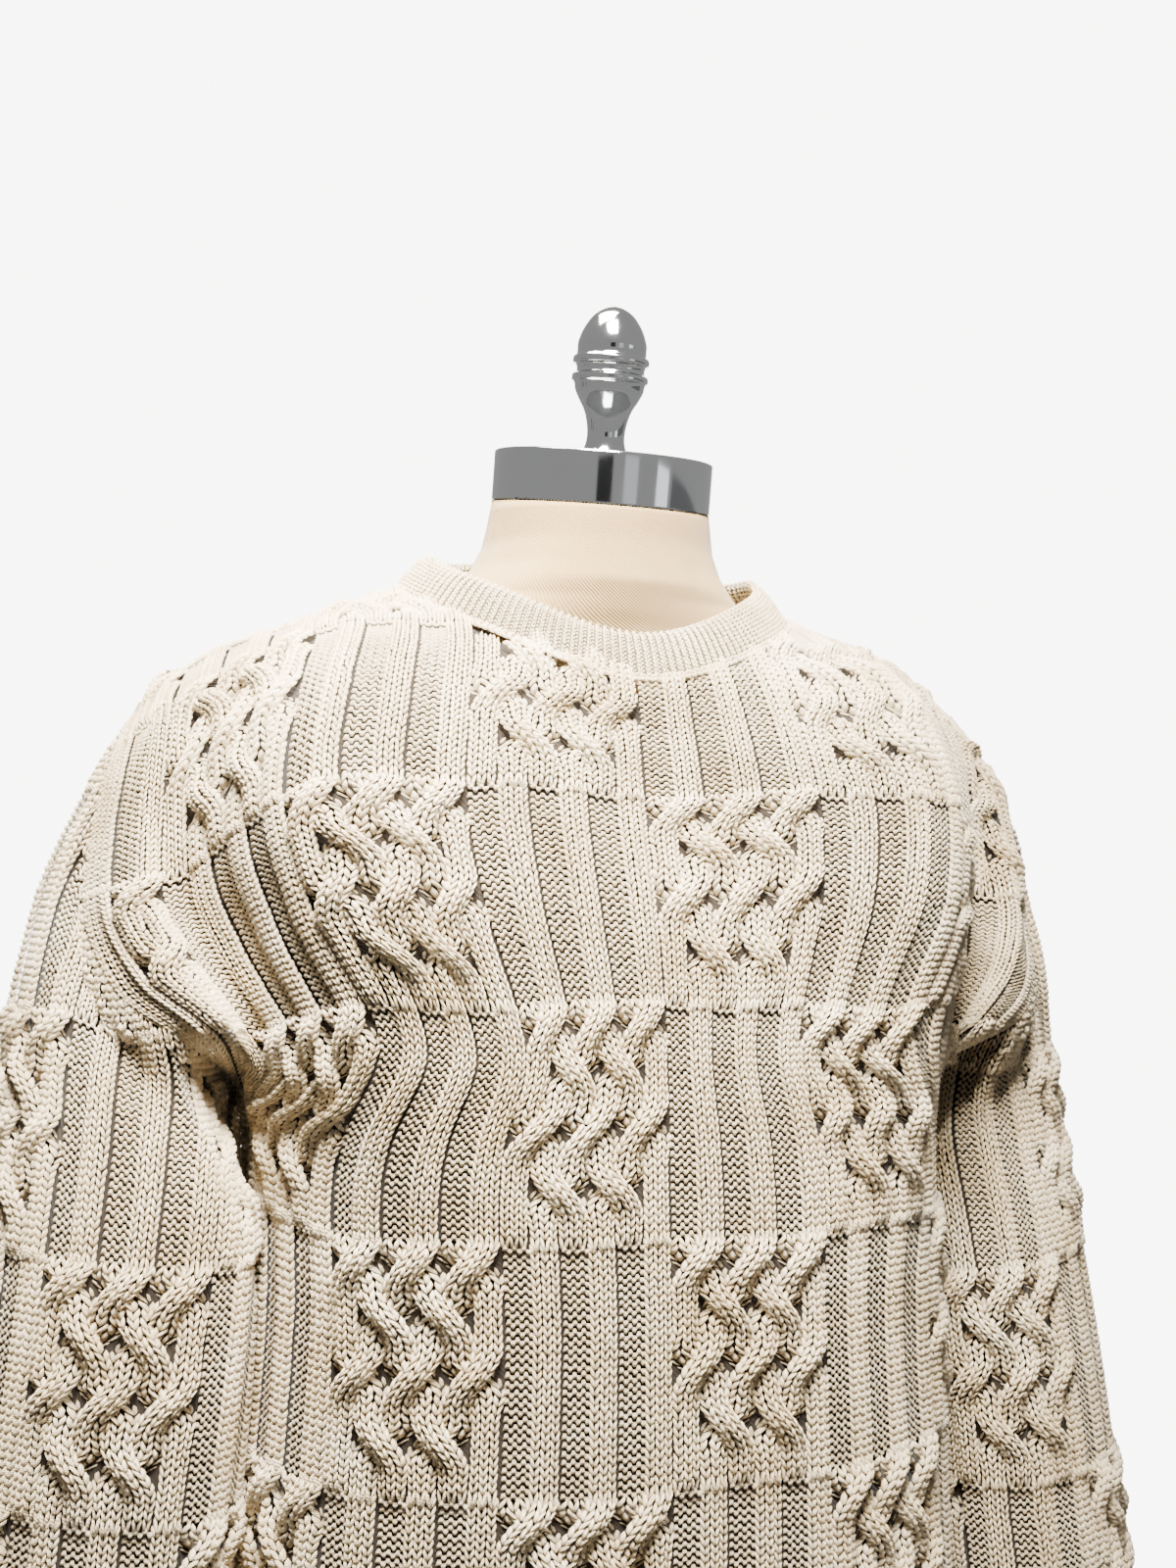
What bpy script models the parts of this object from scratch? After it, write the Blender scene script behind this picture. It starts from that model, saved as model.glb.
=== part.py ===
"""Cable knit sweater worn on a limbless dress form.

Metres, +Z up, the wearer faces -Y, the wearer's left arm is +X, floor at z = 0.
"""
import math

import bmesh
import bpy
import numpy as np

# ---- sizes -----------------------------------------------------------------
KNIT = 0.0022            # thickness of the knitted cloth
SEAM_GAP = 0.00032       # clearance left between pieces that are sewn together
BODY_POWER = 3.0         # squareness of the body's sections
HEM_Z = 0.220            # lower edge of the hem rib
HEM_SEAM_Z = 0.285       # where the hem rib meets front and back
CUFF_Z = 0.262           # lower edge of the cuffs
CUFF_SEAM_Z = 0.328      # where the cuffs meet the sleeves
SLEEVE_BLEND = 0.085     # drop over which the armhole's shape turns into the sleeve's
NECK_A, NECK_FRONT, NECK_BACK = 0.106, 0.081, 0.072   # neckline half width, depths
COLLAR_WIDTH, COLLAR_THICK = 0.026, 0.0052            # folded rib band
ROWS_BODY, ROWS_ARMHOLE = 7, 12                       # quads up a panel
RINGS_SLEEVE = 15

# share of the half section from the centre line (0) to the side or armhole seam (1)
STATIONS = (0.0, 0.30, 0.60, 0.73, 0.86, 1.0)
COLUMNS_NECK = 6
COLUMNS_SHOULDER = (0.46, 0.53, 0.60, 0.665, 0.73, 0.795, 0.86, 0.93, 1.0)

# body below the armholes: height, half width, front depth, back depth
TRUNK = (
    (0.285, 0.180, 0.147, 0.124),
    (0.330, 0.187, 0.157, 0.130),
    (0.450, 0.182, 0.156, 0.129),
    (0.560, 0.176, 0.149, 0.127),
)
# front above the armpit: height, then x, y, z at centre, breast, chest edge,
# fold beside the arm, crest of the flap over the arm, armhole seam
FRONT = (
    (0.645, (0, -.139, .645), (.086, -.134, .645), (.147, -.107, .646), (.170, -.064, .648), (.176, -.032, .650), (.177, .004, .652)),
    (0.700, (0, -.130, .700), (.086, -.127, .702), (.153, -.108, .702), (.179, -.067, .684), (.194, -.075, .688), (.211, -.067, .685)),
    (0.750, (0, -.119, .750), (.086, -.119, .754), (.163, -.104, .753), (.191, -.050, .722), (.218, -.066, .718), (.241, -.050, .706)),
    (0.790, (0, -.104, .790), (.085, -.107, .797), (.172, -.088, .797), (.206, -.037, .752), (.232, -.047, .746), (.2535, -.022, .736)),
    (0.830, (0, -.091, .830), (.085, -.090, .840), (.168, -.066, .842), (.2150, -.027, .797), (.236, -.029, .785), (.2525, -.012, .770)),
    (0.870, (0, -.072, .870), (.085, -.058, .880), (.160, -.034, .872), (.2140, -.017, .838), (.232, -.016, .822), (.2460, -.010, .805)),
    (0.912, (0, .000, .912), (.088, .000, .909), (.155, .001, .885), (.1970, .002, .868), (.220, .001, .850), (.2365, .000, .831)),
)
BACK = (
    (0.645, (0, .126, .645), (.086, .120, .645), (.148, .092, .646), (.170, .062, .648), (.176, .034, .650), (.177, .004, .652)),
    (0.700, (0, .127, .700), (.088, .122, .701), (.156, .099, .701), (.184, .070, .690), (.197, .063, .683), (.208, .054, .681)),
    (0.750, (0, .123, .750), (.088, .120, .752), (.164, .098, .752), (.199, .070, .736), (.220, .061, .724), (.236, .058, .708)),
    (0.790, (0, .113, .790), (.088, .111, .793), (.168, .088, .792), (.207, .060, .776), (.231, .051, .762), (.2480, .045, .745)),
    (0.830, (0, .101, .835), (.088, .095, .836), (.166, .069, .832), (.208, .044, .815), (.232, .037, .800), (.2490, .031, .784)),
    (0.870, (0, .086, .900), (.088, .072, .893), (.160, .041, .870), (.204, .024, .848), (.228, .021, .830), (.2425, .017, .810)),
    (0.912, (0, .000, .912), (.088, .000, .909), (.155, .001, .885), (.1970, .002, .868), (.220, .001, .850), (.2365, .000, .831)),
)
# sleeves: height, centre x, centre y, long half axis, short half axis, turn in degrees
SLEEVE_RIGHT = (
    (0.830, 0.196, 0.008, 0.046, 0.036, 20),
    (0.800, 0.204, 0.010, 0.052, 0.046, 20),
    (0.770, 0.212, 0.011, 0.056, 0.051, 25),
    (0.720, 0.220, 0.006, 0.062, 0.054, 32),
    (0.680, 0.226, -.004, 0.066, 0.051, 38),
    (0.640, 0.231, -.018, 0.067, 0.048, 42),
    (0.570, 0.236, -.033, 0.069, 0.049, 42),
    (0.450, 0.246, -.040, 0.069, 0.051, 42),
    (0.380, 0.252, -.042, 0.064, 0.049, 42),
    (0.345, 0.254, -.042, 0.050, 0.041, 42),
    (0.328, 0.255, -.042, 0.042, 0.035, 42),
)
SLEEVE_LEFT = (
    (0.830, 0.196, 0.008, 0.046, 0.036, 20),
    (0.800, 0.204, 0.012, 0.052, 0.046, 20),
    (0.770, 0.212, 0.014, 0.056, 0.051, 25),
    (0.720, 0.220, 0.011, 0.062, 0.054, 32),
    (0.680, 0.226, 0.008, 0.066, 0.051, 38),
    (0.640, 0.232, 0.003, 0.067, 0.048, 42),
    (0.570, 0.236, -.014, 0.069, 0.049, 42),
    (0.450, 0.246, -.031, 0.069, 0.051, 42),
    (0.380, 0.252, -.038, 0.064, 0.049, 42),
    (0.345, 0.254, -.039, 0.050, 0.041, 42),
    (0.328, 0.255, -.039, 0.042, 0.035, 42),
)
# ribs: height, half width, front depth, back depth
HEM_RIB = ((0.285, .1790, .1460, .1230), (0.250, .1728, .1402, .1177), (0.220, .1745, .1425, .1195))
# cuffs: height, long half axis, short half axis
CUFF_RIB = ((0.328, .0410, .0340), (0.300, .0380, .0325), (0.262, .0395, .0340))

# dress form: height, half width, front depth, back depth, centre y
FORM = (
    (0.160, .150, .110, .096, .000),
    (0.166, .157, .116, .102, .000),
    (0.250, .160, .121, .106, .000),
    (0.340, .156, .119, .104, .000),
    (0.450, .146, .110, .098, .000),
    (0.560, .143, .110, .098, .000),
    (0.640, .147, .113, .100, .000),
    (0.700, .152, .106, .101, .000),
    (0.750, .162, .094, .096, .002),
    (0.790, .174, .084, .092, .002),
    (0.820, .181, .076, .086, .002),
    (0.840, .183, .069, .079, .002),
    (0.855, .181, .064, .071, .002),
    (0.866, .175, .060, .063, .002),
    (0.874, .164, .056, .058, .002),
    (0.881, .144, .052, .057, .002),
    (0.888, .119, .049, .056, .001),
    (0.894, .098, .050, .057, .000),
    (0.901, .082, .054, .059, .000),
)
NECK = ((0.909, .0740, .0645, .0645, -.0010), (0.918, .0668, .0630, .0630, -.0022), (0.930, .0610, .0605, .0605, -.0043), (0.942, .0588, .0588, .0588, -.0062))
NECK_LEAN = 8.5                       # degrees forward
CAP_TOP = (0.0, -0.0122, 0.980)       # centre of the cap's top face
CAP_RADIUS, CAP_HEIGHT, CAP_EDGE = 0.0575, 0.0265, 0.0016
# finial: distance above the cap, radius
FINIAL = (
    (0.0000, .0126), (0.0016, .0126), (0.0040, .0113), (0.0200, .0113), (0.0240, .0127),
    (0.0290, .0156), (0.0340, .0180), (0.0378, .0190), (0.0384, .0198), (0.0416, .0198),
    (0.0424, .0184), (0.0446, .0178), (0.0466, .0184), (0.0474, .0198), (0.0506, .0198),
    (0.0514, .0190), (0.0585, .0180), (0.0670, .0147), (0.0730, .0100), (0.0760, .0052),
)
FINIAL_TOP = 0.0775
POLE_RADIUS, BASE_RADIUS, BASE_HEIGHT, BASE_EDGE = 0.016, 0.160, 0.012, 0.003


# ---- curves and surfaces ---------------------------------------------------
def slopes(knots, values):
    """Tangents of a smooth curve through the values, one per knot."""
    step = np.diff(knots)
    rate = np.diff(values, axis=0) / step.reshape((-1,) + (1,) * (values.ndim - 1))
    out = np.empty_like(values)
    out[0], out[-1] = rate[0], rate[-1]
    for i in range(1, len(knots) - 1):
        out[i] = (rate[i - 1] * step[i] + rate[i] * step[i - 1]) / (step[i - 1] + step[i])
    return out


def curve(knots, values, at):
    """Smooth curve through values at knots, read at each of `at`."""
    knots, values, at = np.asarray(knots, float), np.asarray(values, float), np.asarray(at, float)
    m = slopes(knots, values)
    i = np.clip(np.searchsorted(knots, at, side="right") - 1, 0, len(knots) - 2)
    tail = (1,) * (values.ndim - 1)
    h = (knots[i + 1] - knots[i]).reshape((-1,) + tail)
    s = ((at - knots[i]) / (knots[i + 1] - knots[i])).reshape((-1,) + tail)
    return ((2 * s**3 - 3 * s**2 + 1) * values[i] + (s**3 - 2 * s**2 + s) * h * m[i]
            + (3 * s**2 - 2 * s**3) * values[i + 1] + (s**3 - s**2) * h * m[i + 1])


def quarter(half_width, depth, shares):
    """Points of a squared quarter section at shares of its length, centre to side."""
    t = np.linspace(0.0, math.pi / 2, 241)
    x = half_width * np.sin(t) ** (2 / BODY_POWER)
    y = depth * np.cos(t) ** (2 / BODY_POWER)
    run = np.r_[0.0, np.cumsum(np.hypot(np.diff(x), np.diff(y)))]
    return np.interp(shares, run / run[-1], x), np.interp(shares, run / run[-1], y)


def panel_net(table, side):
    """Control points of front (side -1) or back (side 1): levels, 11 stations, xyz."""
    rows = []
    for height, half, front, back in TRUNK:
        x, y = quarter(half, front if side < 0 else back, STATIONS)
        y = y * side + 0.004 * np.asarray(STATIONS) ** 4
        rows.append(np.stack([x, y, np.full(len(x), height)], -1))
    for row in table:
        rows.append(np.array(row[1:], float))
    half = np.array(rows)
    other = half[:, ::-1] * (-1, 1, 1)
    return np.concatenate([other[:, :-1], half], axis=1)


LEVELS = np.array([r[0] for r in TRUNK] + [r[0] for r in FRONT])
SPREAD = np.r_[-np.array(STATIONS)[:0:-1], np.array(STATIONS)]
ARMPIT_LEVEL = FRONT[0][0]


def surface(net, u, level):
    """Points of a panel at across-shares u (-1..1) and levels."""
    lines = curve(LEVELS, net, level)
    return np.array([curve(SPREAD, line, [a])[0] for line, a in zip(lines, u)])


def neckline_share(net, side):
    """Across-share at which the shoulder ridge meets the neckline."""
    low, high = 0.1, 0.8
    for _ in range(40):
        mid = (low + high) / 2
        if surface(net, [mid], [LEVELS[-1]])[0][0] < NECK_A:
            low = mid
        else:
            high = mid
    return mid


def top_level(net, side, u, share):
    """Level of a panel's upper edge: neckline inside `share`, shoulder outside it."""
    if abs(u) >= share:
        return LEVELS[-1]
    depth = NECK_FRONT if side < 0 else NECK_BACK
    low, high = 0.75, LEVELS[-1]
    for _ in range(40):
        mid = (low + high) / 2
        x, y, _z = surface(net, [u], [mid])[0]
        if (x / NECK_A) ** 2 + (y / depth) ** 2 > 1:
            low = mid
        else:
            high = mid
    return mid


def panel_grid(table, side):
    """Outer points of a panel, rows bottom to top, columns wearer's right to left."""
    net = panel_net(table, side)
    share = neckline_share(net, side)
    half = np.r_[np.linspace(0, share, COLUMNS_NECK + 1), COLUMNS_SHOULDER]
    u = np.r_[-half[:0:-1], half]
    tops = np.array([top_level(net, side, a, share) for a in u])
    lower = np.linspace(LEVELS[0], ARMPIT_LEVEL, ROWS_BODY + 1)
    upper = np.linspace(0, 1, ROWS_ARMHOLE + 1)[1:]
    grid = [surface(net, u, np.full(len(u), z)) for z in lower]
    grid += [surface(net, u, ARMPIT_LEVEL + (tops - ARMPIT_LEVEL) * w) for w in upper]
    neck = (len(u) - 1) // 2 - COLUMNS_NECK, (len(u) - 1) // 2 + COLUMNS_NECK
    return np.array(grid), neck


def unit(v):
    return v / np.maximum(np.linalg.norm(v, axis=-1, keepdims=True), 1e-12)


def grid_normals(grid, closed):
    """Normals of a grid whose columns run anticlockwise seen from above, rows upward."""
    if closed:
        across = np.roll(grid, -1, 1) - np.roll(grid, 1, 1)
    else:
        across = np.gradient(grid, axis=1)
    return unit(np.cross(across, np.gradient(grid, axis=0)))


# ---- meshes ----------------------------------------------------------------
def add_mesh(name, verts, faces, material, smooth=True):
    mesh = bpy.data.meshes.new(name)
    mesh.from_pydata([tuple(map(float, v)) for v in verts], [], faces)
    work = bmesh.new()
    work.from_mesh(mesh)
    bmesh.ops.triangulate(work, faces=work.faces, quad_method="SHORT_EDGE")
    bmesh.ops.recalc_face_normals(work, faces=work.faces)
    if work.calc_volume(signed=True) < 0:
        bmesh.ops.reverse_faces(work, faces=work.faces)
    work.to_mesh(mesh)
    work.free()
    for face in mesh.polygons:
        face.use_smooth = smooth
    obj = bpy.data.objects.new(name, mesh)
    obj.data.materials.append(material)
    sweater.objects.link(obj)
    return obj


def add_wall(name, outer, inner, closed, material):
    """Closed wall between two matching grids; closed ones join round their columns."""
    m, n = outer.shape[:2]
    verts = np.concatenate([outer.reshape(-1, 3), inner.reshape(-1, 3)])
    k = m * n
    faces = []
    for j in range(m - 1):
        for i in range(n if closed else n - 1):
            a, b = j * n + i, j * n + (i + 1) % n
            c, d = b + n, a + n
            faces.append((a, b, c, d))
            faces.append((k + a, k + d, k + c, k + b))
    for i in range(n if closed else n - 1):
        a, b = i, (i + 1) % n
        faces.append((a, k + a, k + b, b))
        a, b = a + (m - 1) * n, b + (m - 1) * n
        faces.append((a, b, k + b, k + a))
    if not closed:
        for j in range(m - 1):
            a, b = j * n, (j + 1) * n
            faces.append((a, b, k + b, k + a))
            a, b = a + n - 1, b + n - 1
            faces.append((a, k + a, k + b, b))
    return add_mesh(name, verts, faces, material)


def add_lathe(name, centres, axes, profile, sides, material):
    """Solid of revolution; profile gives (distance along axis, radius), ends capped."""
    up = unit(np.array(axes, float))
    side = unit(np.cross(up, (0.0, 1.0, 0.0)))
    fore = np.cross(up, side)
    verts, faces = [], []
    for along, radius in profile:
        for i in range(sides):
            t = 2 * math.pi * i / sides
            verts.append(np.array(centres) + up * along + (side * math.cos(t) + fore * math.sin(t)) * radius)
    for j in range(len(profile) - 1):
        for i in range(sides):
            a, b = j * sides + i, j * sides + (i + 1) % sides
            faces.append((a, b, b + sides, a + sides))
    faces.append(tuple(range(sides - 1, -1, -1)))
    top = (len(profile) - 1) * sides
    faces.append(tuple(range(top, top + sides)))
    return add_mesh(name, verts, faces, material)


def material(name, colour, roughness, metallic=0.0):
    made = bpy.data.materials.new(name)
    made.use_nodes = True
    shader = made.node_tree.nodes["Principled BSDF"]
    shader.inputs["Base Color"].default_value = (*colour, 1.0)
    shader.inputs["Roughness"].default_value = roughness
    shader.inputs["Metallic"].default_value = metallic
    return made


for old in list(bpy.data.objects):
    bpy.data.objects.remove(old, do_unlink=True)
sweater = bpy.data.collections.new("cable_knit_sweater_on_dress_form")
bpy.context.scene.collection.children.link(sweater)
knit = material("cotton_knit", (0.72, 0.64, 0.53), 0.9)
rib = material("cotton_rib", (0.76, 0.68, 0.56), 0.9)
canvas = material("canvas_cover", (0.86, 0.80, 0.68), 0.85)
chrome = material("polished_chrome", (0.75, 0.76, 0.77), 0.12, 1.0)
steel = material("brushed_steel", (0.55, 0.56, 0.57), 0.3, 1.0)

# ---- front and back --------------------------------------------------------
front_grid, neck_span = panel_grid(FRONT, -1)
back_grid, _ = panel_grid(BACK, 1)
# below the armpit both panels share one side seam
for row in range(ROWS_BODY + 1):
    for col in (0, -1):
        back_grid[row, col] = front_grid[row, col]
front_normal = grid_normals(front_grid, False)
back_normal = -grid_normals(back_grid, False)
first, last = neck_span
seams = [(row, col) for row in range(len(front_grid)) for col in (0, -1)]
seams += [(-1, col) for col in range(front_grid.shape[1]) if col <= first or col >= last]
for row, col in seams:
    if row >= 0 and row > ROWS_BODY:
        continue
    shared = unit(front_normal[row, col] + back_normal[row, col])
    front_normal[row, col] = back_normal[row, col] = shared


# ---- sleeves ---------------------------------------------------------------
def body_side(y, z):
    """Half width of the body below the armpit at a depth and height."""
    heights = [r[0] for r in TRUNK] + [FRONT[0][0]]
    widths = [r[1] for r in TRUNK] + [FRONT[0][6][0]]
    depth = [r[2] for r in TRUNK] + [-FRONT[0][1][1]]
    half, reach = np.interp(z, heights, widths), np.interp(z, heights, depth)
    return half * max(0.0, 1 - abs((y - 0.004) / reach) ** BODY_POWER) ** (1 / BODY_POWER)


def sleeve_grid(table, col, side):
    """Outer points of a sleeve, rings from cuff to armhole, and its armhole loop."""
    tip = len(front_grid) - 1
    loop = [front_grid[r, col] for r in range(tip, ROWS_BODY - 1, -1)]
    loop += [back_grid[r, col] for r in range(ROWS_BODY + 1, tip)]
    loop = np.array(loop) * (side, 1, 1)              # tip, front, underarm, back
    n = len(loop)
    rows = list(range(tip, ROWS_BODY - 1, -1)) + list(range(ROWS_BODY + 1, tip))
    step = 1 if col == 0 else -1
    near = np.array([(front_grid if i <= tip - ROWS_BODY else back_grid)[r, col + step] for i, r in enumerate(rows)])
    near = near * (side, 1, 1)
    face = np.array([(front_normal if i <= tip - ROWS_BODY else back_normal)[r, col] for i, r in enumerate(rows)])
    away = unit(np.cross(np.roll(loop, -1, 0) - np.roll(loop, 1, 0), face * (side, 1, 1)))
    away *= np.sign(((loop - near) * away).sum(-1, keepdims=True))
    away[0] = unit(np.array([0.5, 0.0, -0.86]))
    away[tip - ROWS_BODY] = (0.0, 0.0, -1.0)
    away = unit(away * (0.55, 0.15, 0.3) + (0.0, 0.0, -0.8))
    away = unit(away * 2 + np.roll(away, 1, 0) + np.roll(away, -1, 0))
    sections = np.array(table[::-1])
    run = np.r_[0, np.cumsum(np.linalg.norm(np.diff(np.vstack([loop, loop[:1]]), axis=0), axis=1))]
    even = 2 * math.pi * run[:-1] / run[-1]
    rings = []
    for w in np.linspace(0, 1, RINGS_SLEEVE + 1) ** 1.25:
        fall = (loop[:, 2] - CUFF_SEAM_Z) * w
        z = loop[:, 2] - fall
        cx, cy, long, short, turn = curve(sections[:, 0], sections[:, 1:], z).T
        turn = np.radians(turn)
        lx, ly = np.cos(turn), np.sin(turn)
        along = np.cos(even) * lx - np.sin(even) * ly
        beside = -np.cos(even) * ly - np.sin(even) * lx
        ellipse = np.stack([cx + long * along * lx - short * beside * ly,
                            cy + long * along * ly + short * beside * lx, z], -1)
        s = np.clip(fall / SLEEVE_BLEND, 0, 1)[:, None]
        s = s * s * (3 - 2 * s)
        ring = (loop + away * fall[:, None] * 0.7) * (1 - s) + ellipse * s
        if w > 0:
            for i in range(n):
                if ring[i, 2] < 0.660:
                    ease = min(1.0, (0.660 - ring[i, 2]) / 0.03)
                    ring[i, 0] = max(ring[i, 0], body_side(ring[i, 1], ring[i, 2]) + 0.0006 + 0.0035 * ease)
        rings.append(ring * (side, 1, 1))
    return np.array(rings[::-1]), n


def finish_sleeve(name, table, col, side):
    grid, n = sleeve_grid(table, col, side)
    # columns run tip, front, underarm, back: clockwise from above on the left arm
    flip = 1.0 if side < 0 else -1.0
    normal = grid_normals(grid, True) * flip
    tip = len(front_grid) - 1
    where = [(front_normal, r) for r in range(tip, ROWS_BODY - 1, -1)]
    where += [(back_normal, r) for r in range(ROWS_BODY + 1, tip)]
    for i, (field, r) in enumerate(where):
        shared = unit(field[r, col] + normal[-1, i])
        normal[-1, i] = shared
        field[r, col] = shared
        if r == ROWS_BODY or r == tip:
            front_normal[r, col] = back_normal[r, col] = shared
    inner = grid - normal * KNIT
    for g in (grid, inner):
        g[-1] += unit(g[-2] - g[-1]) * SEAM_GAP / 2
        g[0] += unit(g[1] - g[0]) * SEAM_GAP / 2
    return add_wall(name, grid, inner, True, knit), grid


right_sleeve, right_grid = finish_sleeve("sleeve_right", SLEEVE_RIGHT, 0, -1)
left_sleeve, left_grid = finish_sleeve("sleeve_left", SLEEVE_LEFT, -1, 1)


def inset(grid, towards_rows, towards_cols):
    """Pull the named boundary rows and columns back from the seam by half the gap."""
    out = grid.copy()
    for row, inner_row in towards_rows:
        out[row] += unit(grid[inner_row] - grid[row]) * SEAM_GAP / 2
    for col, inner_col in towards_cols:
        out[:, col] += unit(grid[:, inner_col] - grid[:, col]) * SEAM_GAP / 2
    return out


for col in range(front_grid.shape[1]):
    if col <= first or col >= last:
        back_grid[-1, col] = front_grid[-1, col]
neck_base = {}
for name, grid, normal in (("front", front_grid, front_normal), ("back", back_grid, back_normal)):
    inner = grid - normal * KNIT
    outer = inset(grid, ((0, 1), (-1, -2)), ((0, 1), (-1, -2)))
    inner = inset(inner, ((0, 1), (-1, -2)), ((0, 1), (-1, -2)))
    add_wall(name, outer, inner, False, knit)
    neck_base[name] = (grid[-1, first:last + 1], normal[-1, first:last + 1])

# ---- collar ----------------------------------------------------------------
front_edge, front_out = neck_base["front"]
back_edge, back_out = (a[::-1] for a in neck_base["back"])
edge = np.vstack([front_edge, back_edge[1:-1]])
out = np.vstack([front_out, back_out[1:-1]])
follow = np.roll(edge, -1, 0) - np.roll(edge, 1, 0)
rise = unit(np.cross(follow, out))
rise[rise[:, 2] < 0] *= -1
band = []
for p, across, up in zip(edge, out, rise):
    around = math.atan2(p[1], p[0])
    tilt = 0.31 - 0.19 * math.sin(around) + 0.49 * math.cos(around) ** 2
    lean = np.array([-math.cos(around), -math.sin(around), 0.0])
    stand = unit(np.array([0.0, 0.0, 1.0]) + lean * tilt)
    thick_dir = unit(np.cross(np.array([-math.sin(around), math.cos(around), 0.0]), stand))
    start = p + up * SEAM_GAP * 1.4
    ring = [start - across * KNIT, start]
    shape = ((0.10, 0.30), (0.36, 0.52), (0.66, 0.52), (0.90, 0.34), (1.0, 0.0), (0.92, -0.36), (0.66, -0.50), (0.30, -0.50))
    base = start - across * KNIT / 2
    for along, off in shape:
        ring.append(base + stand * COLLAR_WIDTH * along + thick_dir * COLLAR_THICK * off + up * 0.0012)
    band.append(ring)
band = np.array(band)
n, k = band.shape[:2]
faces = [(i * k + j, i * k + (j + 1) % k, ((i + 1) % n) * k + (j + 1) % k, ((i + 1) % n) * k + j)
         for i in range(n) for j in range(k)]
add_mesh("collar", band.reshape(-1, 3), faces, rib)


# ---- hem ribs and cuffs ----------------------------------------------------
def rib_half(side):
    """Outer points of the front or back hem rib on the panel's own columns."""
    panel = front_grid if side < 0 else back_grid
    half = panel.shape[1] // 2
    rows = []
    for height, width, fore, aft in HEM_RIB[::-1]:
        x, y = quarter(width, fore if side < 0 else aft, np.abs(np.linspace(-1, 1, 2 * half + 1)))
        share = np.abs(np.linspace(-1, 1, 2 * half + 1))
        rows.append(np.stack([x * np.sign(np.linspace(-1, 1, 2 * half + 1)), y * side + 0.004 * share ** 4,
                              np.full(2 * half + 1, height)], -1))
    rows[-1] = panel[0] + (0, 0, 0)
    rows[-1][:, 2] = HEM_SEAM_Z
    return np.array(rows)


hem_front, hem_back = rib_half(-1), rib_half(1)
for row in range(len(hem_front)):
    for col in (0, -1):
        hem_back[row, col] = hem_front[row, col]
for name, grid, flip, top_normal in (("hem_rib_front", hem_front, 1, front_normal), ("hem_rib_back", hem_back, -1, back_normal)):
    normal = grid_normals(grid, False) * flip
    normal[-1] = top_normal[0]
    for col, sign in ((0, -1), (-1, 1)):
        normal[:, col] = (sign, 0, 0)
    normal[-1, 0], normal[-1, -1] = top_normal[0, 0], top_normal[0, -1]
    inner = grid - normal * KNIT * 1.1
    inner[-1] = grid[-1] - normal[-1] * KNIT
    outer = inset(grid, ((-1, -2),), ((0, 1), (-1, -2)))
    inner = inset(inner, ((-1, -2),), ((0, 1), (-1, -2)))
    add_wall(name, outer, inner, False, rib)

for name, grid, table, side in (("cuff_right", right_grid, SLEEVE_RIGHT, -1), ("cuff_left", left_grid, SLEEVE_LEFT, 1)):
    _h, cx, cy, long_0, short_0, turn = table[-1]
    top = grid[0].copy()
    top[:, 2] = CUFF_SEAM_Z
    rows = []
    for height, long, short in CUFF_RIB[::-1]:
        ring = top.copy()
        t = math.radians(turn)
        lx, ly = math.cos(t), math.sin(t)
        dx, dy = top[:, 0] * side - cx, top[:, 1] - cy
        along, beside = (dx * lx + dy * ly) / long_0, (-dx * ly + dy * lx) / short_0
        ring[:, 0] = (cx + long * along * lx - short * beside * ly) * side
        ring[:, 1] = cy + long * along * ly + short * beside * lx
        ring[:, 2] = height
        rows.append(ring)
    rows[-1] = top
    outer = np.array(rows)
    normal = grid_normals(outer, True) * (1.0 if side < 0 else -1.0)
    inner = outer - normal * KNIT * 1.1
    outer, inner = (inset(g, ((-1, -2),), ()) for g in (outer, inner))
    add_wall(name, outer, inner, True, rib)

# ---- dress form ------------------------------------------------------------
SIDES = 40
verts, faces = [], []
rows = [(z, a, f, b, y, 2.35 if z < 0.80 else 2.1) for z, a, f, b, y in FORM]
rows += [(z, a, f, b, y, 2.0) for z, a, f, b, y in NECK]
for z, half, fore, aft, centre, power in rows:
    for i in range(SIDES):
        t = 2 * math.pi * i / SIDES
        c, s = math.cos(t), math.sin(t)
        depth = aft if s > 0 else fore
        verts.append((half * math.copysign(abs(c) ** (2 / power), c),
                      centre + depth * math.copysign(abs(s) ** (2 / power), s), z))
lean = math.radians(NECK_LEAN)
axis = np.array([0.0, -math.sin(lean), math.cos(lean)])
cap_base = np.array(CAP_TOP) - axis * (CAP_HEIGHT + 0.0003)
for i in range(SIDES):
    t = 2 * math.pi * i / SIDES
    verts.append(cap_base + (CAP_RADIUS - 0.0004) * (math.cos(t) * np.array([1.0, 0, 0]) + math.sin(t) * np.array([0, math.cos(lean), math.sin(lean)])))
count = len(rows) + 1
for j in range(count - 1):
    for i in range(SIDES):
        a, b = j * SIDES + i, j * SIDES + (i + 1) % SIDES
        faces.append((a, b, b + SIDES, a + SIDES))
faces.append(tuple(range(SIDES - 1, -1, -1)))
faces.append(tuple(range((count - 1) * SIDES, count * SIDES)))
add_mesh("form_torso", verts, faces, canvas)

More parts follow.
